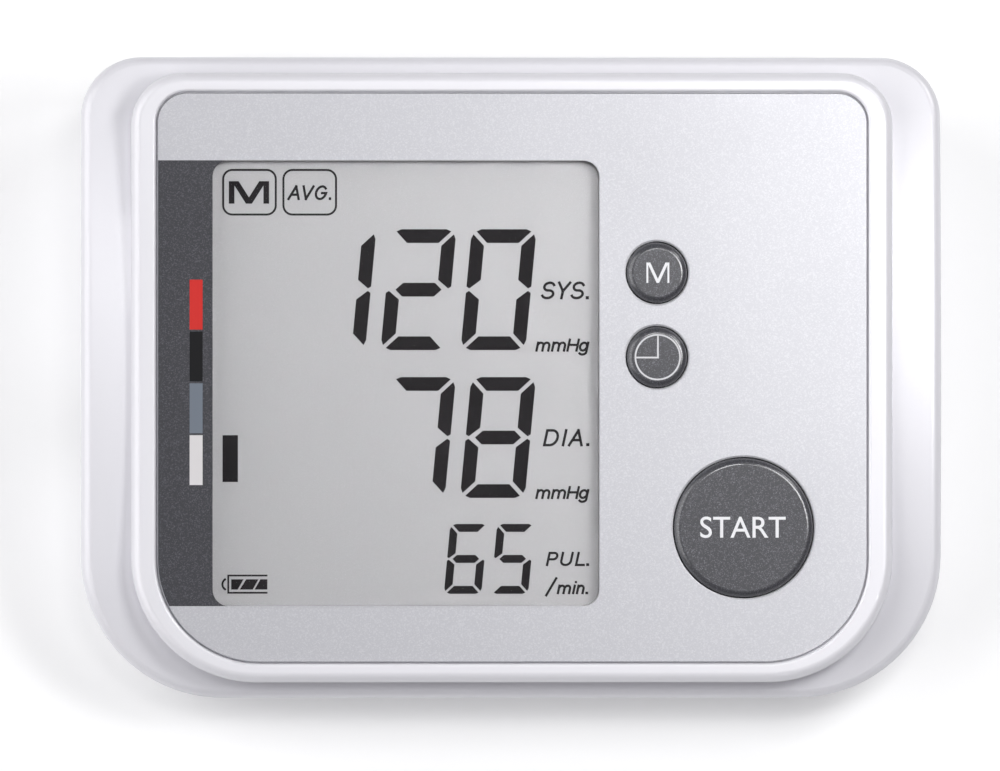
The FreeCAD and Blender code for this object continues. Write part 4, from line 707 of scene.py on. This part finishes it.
# Rubber domes under the buttons, built in place of the part's domes
DOME_ROOF, DOME_WALL, DOME_EDGE, DOME_CURVE = 0.8, 0.6, 0.25, 1.6
DOME_STEPS, DOME_EDGE_STEPS, DOME_SIDES = 14, 6, 48
DOME_TOP_DEPTH = 0.01  # points of a dome's solid that lie no deeper than this are on its top
DOME_SHARP = np.radians(40)


def rubber_dome(node):
    """A hollow dome in a node's place, and the middle of its foot: a profile turned about the dome's axis. From
    the foot, the outer radius falls towards the tip by a power of the height that is left, and the roof's edge
    is round. The inner profile keeps one wall from the outer one and ends below the roof, and two faces close
    the roof."""
    low, high = face_box(node)
    middle, foot, height = (low[:2] + high[:2]) / 2, (high[0] - low[0]) / 2, high[2] - low[2]
    places = face_places(node)
    tip = np.ptp(places[places[:, 2] > high[2] - DOME_TOP_DEPTH][:, 0]) / 2
    rise = np.linspace(0, 1, DOME_STEPS)
    levels = rise * (height - DOME_EDGE)
    radii = tip + (foot - tip) * (1 - rise) ** DOME_CURVE
    edge = arc((tip - DOME_EDGE, height - DOME_EDGE), DOME_EDGE, 0, 90, DOME_EDGE_STEPS)
    inner_levels = np.linspace(height - DOME_ROOF, 0, DOME_STEPS)
    inner_radii = np.interp(inner_levels, levels, radii) - DOME_WALL
    profile = np.concatenate((
        np.stack((inner_radii, inner_levels), axis=1), np.stack((radii, levels), axis=1), edge[1:],
    ))
    turn = np.linspace(0, 2 * np.pi, DOME_SIDES, endpoint=False)
    around = np.stack((np.cos(turn), np.sin(turn)), axis=1)
    rings = middle + profile[:, None, :1] * around
    heights = np.broadcast_to(low[2] + profile[:, None, 1:], (len(profile), DOME_SIDES, 1))
    points = np.concatenate((rings, heights), axis=2).reshape(-1, 3)
    order = np.arange(len(points)).reshape(len(profile), DOME_SIDES)
    after = np.roll(order, -1, axis=1)
    sides = np.stack((order[:-1], after[:-1], after[1:], order[1:]), axis=-1).reshape(-1, 4)
    return (points, [order[-1].tolist(), order[0, ::-1].tolist(), *sides.tolist()]), (*middle, low[2])


for button in ("start", "memory", "clock"):
    shape, foot_middle = rubber_dome(button + "_dome")
    piece = add_piece(button + "_rubber_dome", [shape], "casing", finishes["dome_rubber"])
    piece.data.shade_smooth()
    piece.data.set_sharp_from_angle(angle=DOME_SHARP)
    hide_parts(button + "_dome")
    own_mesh(piece)


# Studio
FLOOR_REACH, FLOOR_GLOW = 3.0, 0.2


def floor_white():
    """A floor that the camera, mirrors and glass see as white, with a little light of its own. For soft light
    it is somewhat darker, so that it doesn't wash out the object's edges."""
    material, tree, shader = new_material("floor_white")
    path = add(tree, "ShaderNodeLightPath").outputs
    direct = add(
        tree, "ShaderNodeMath", {0: path["Is Camera Ray"], 1: path["Is Glossy Ray"]}, operation="MAXIMUM"
    )
    seen = add(
        tree, "ShaderNodeMath", {0: direct.outputs[0], 1: path["Is Transmission Ray"]}, operation="MAXIMUM"
    )
    ramp = add(tree, "ShaderNodeValToRGB", {"Fac": seen.outputs[0]})
    ramp.color_ramp.elements[0].color = colour(224, 224, 226)
    ramp.color_ramp.elements[1].color = colour(248, 248, 248)
    shine = add(tree, "ShaderNodeMath", {0: seen.outputs[0], 1: FLOOR_GLOW}, operation="MULTIPLY")
    tree.links.new(ramp.outputs["Color"], shader.inputs["Base Color"])
    tree.links.new(shine.outputs[0], shader.inputs["Emission Strength"])
    set_inputs(shader, {"Roughness": 0.9, "Emission Color": (1, 1, 1, 1)})
    return material


floor_mesh = bpy.data.meshes.new("floor")
floor_corners = rectangle(-FLOOR_REACH, -FLOOR_REACH, FLOOR_REACH, FLOOR_REACH)
floor_mesh.from_pydata([(*corner, 0.0) for corner in floor_corners], [], [(0, 1, 2, 3)])
floor_mesh.materials.append(floor_white())
floor = bpy.data.objects.new("floor", floor_mesh)
bpy.context.collection.objects.link(floor)

scene = bpy.context.scene
scene.view_settings.view_transform = "Standard"
world = bpy.data.worlds.new("studio")
world.use_nodes = True
scene.world = world
backdrop = world.node_tree.nodes["Background"]
backdrop.inputs["Color"].default_value = colour(248, 247, 255)
backdrop.inputs["Strength"].default_value = 0.13


def look_from(place, aim):
    """A placement at a point whose own -Z axis points at the aim and whose Y axis leans up the face."""
    back = (place - aim) / np.linalg.norm(place - aim)
    side = np.cross(UP, back)
    side /= np.linalg.norm(side)
    turn = np.stack((side, np.cross(back, side), back), axis=1)
    matrix = np.eye(4)
    matrix[:3, :3], matrix[:3, 3] = turn, place
    return Matrix(matrix.tolist())


def add_lamp(name, right, up, distance, size, power):
    """A square soft lamp, turned to the panel's middle. It stands off the face's normal by two angles in
    degrees."""
    middle = from_face((0, 0, 0))
    lean = np.array((*np.tan(np.radians((right, up))), 1.0))
    lamp = bpy.data.lights.new(name, "AREA")
    lamp.size, lamp.energy = size, power
    made = bpy.data.objects.new(name, lamp)
    made.matrix_world = look_from(middle + distance * (lean / np.linalg.norm(lean)) @ FACE, middle)
    bpy.context.collection.objects.link(made)


add_lamp("front_lamp", right=2, up=9, distance=1.5, size=0.2, power=1.95)
add_lamp("left_lamp", right=-55, up=10, distance=1.1, size=1.3, power=10.5)
add_lamp("right_lamp", right=50, up=45, distance=0.8, size=0.24, power=1.0)
add_lamp("near_lamp", right=24, up=13, distance=0.4, size=0.12, power=0.42)
add_lamp("low_near_lamp", right=28, up=4, distance=0.45, size=0.12, power=0.31)

# Camera: square to the face but for a little from the left, far away with a long lens
CAMERA_DISTANCE, CAMERA_YAW = 3.0, 2.0
VIEW_WIDTH, VIEW_RIGHT, VIEW_UP = 176.4, -2.2, -1.4
camera_data = bpy.data.cameras.new("camera")
camera_data.sensor_width = 36.0
camera_data.lens = camera_data.sensor_width * CAMERA_DISTANCE / (VIEW_WIDTH * MM)
camera = bpy.data.objects.new("camera", camera_data)
aim = from_face((VIEW_RIGHT, VIEW_UP, 0))
yaw = np.radians(CAMERA_YAW)
camera.matrix_world = look_from(aim + CAMERA_DISTANCE * (np.cos(yaw) * OUT - np.sin(yaw) * RIGHT), aim)
bpy.context.collection.objects.link(camera)
scene.camera = camera
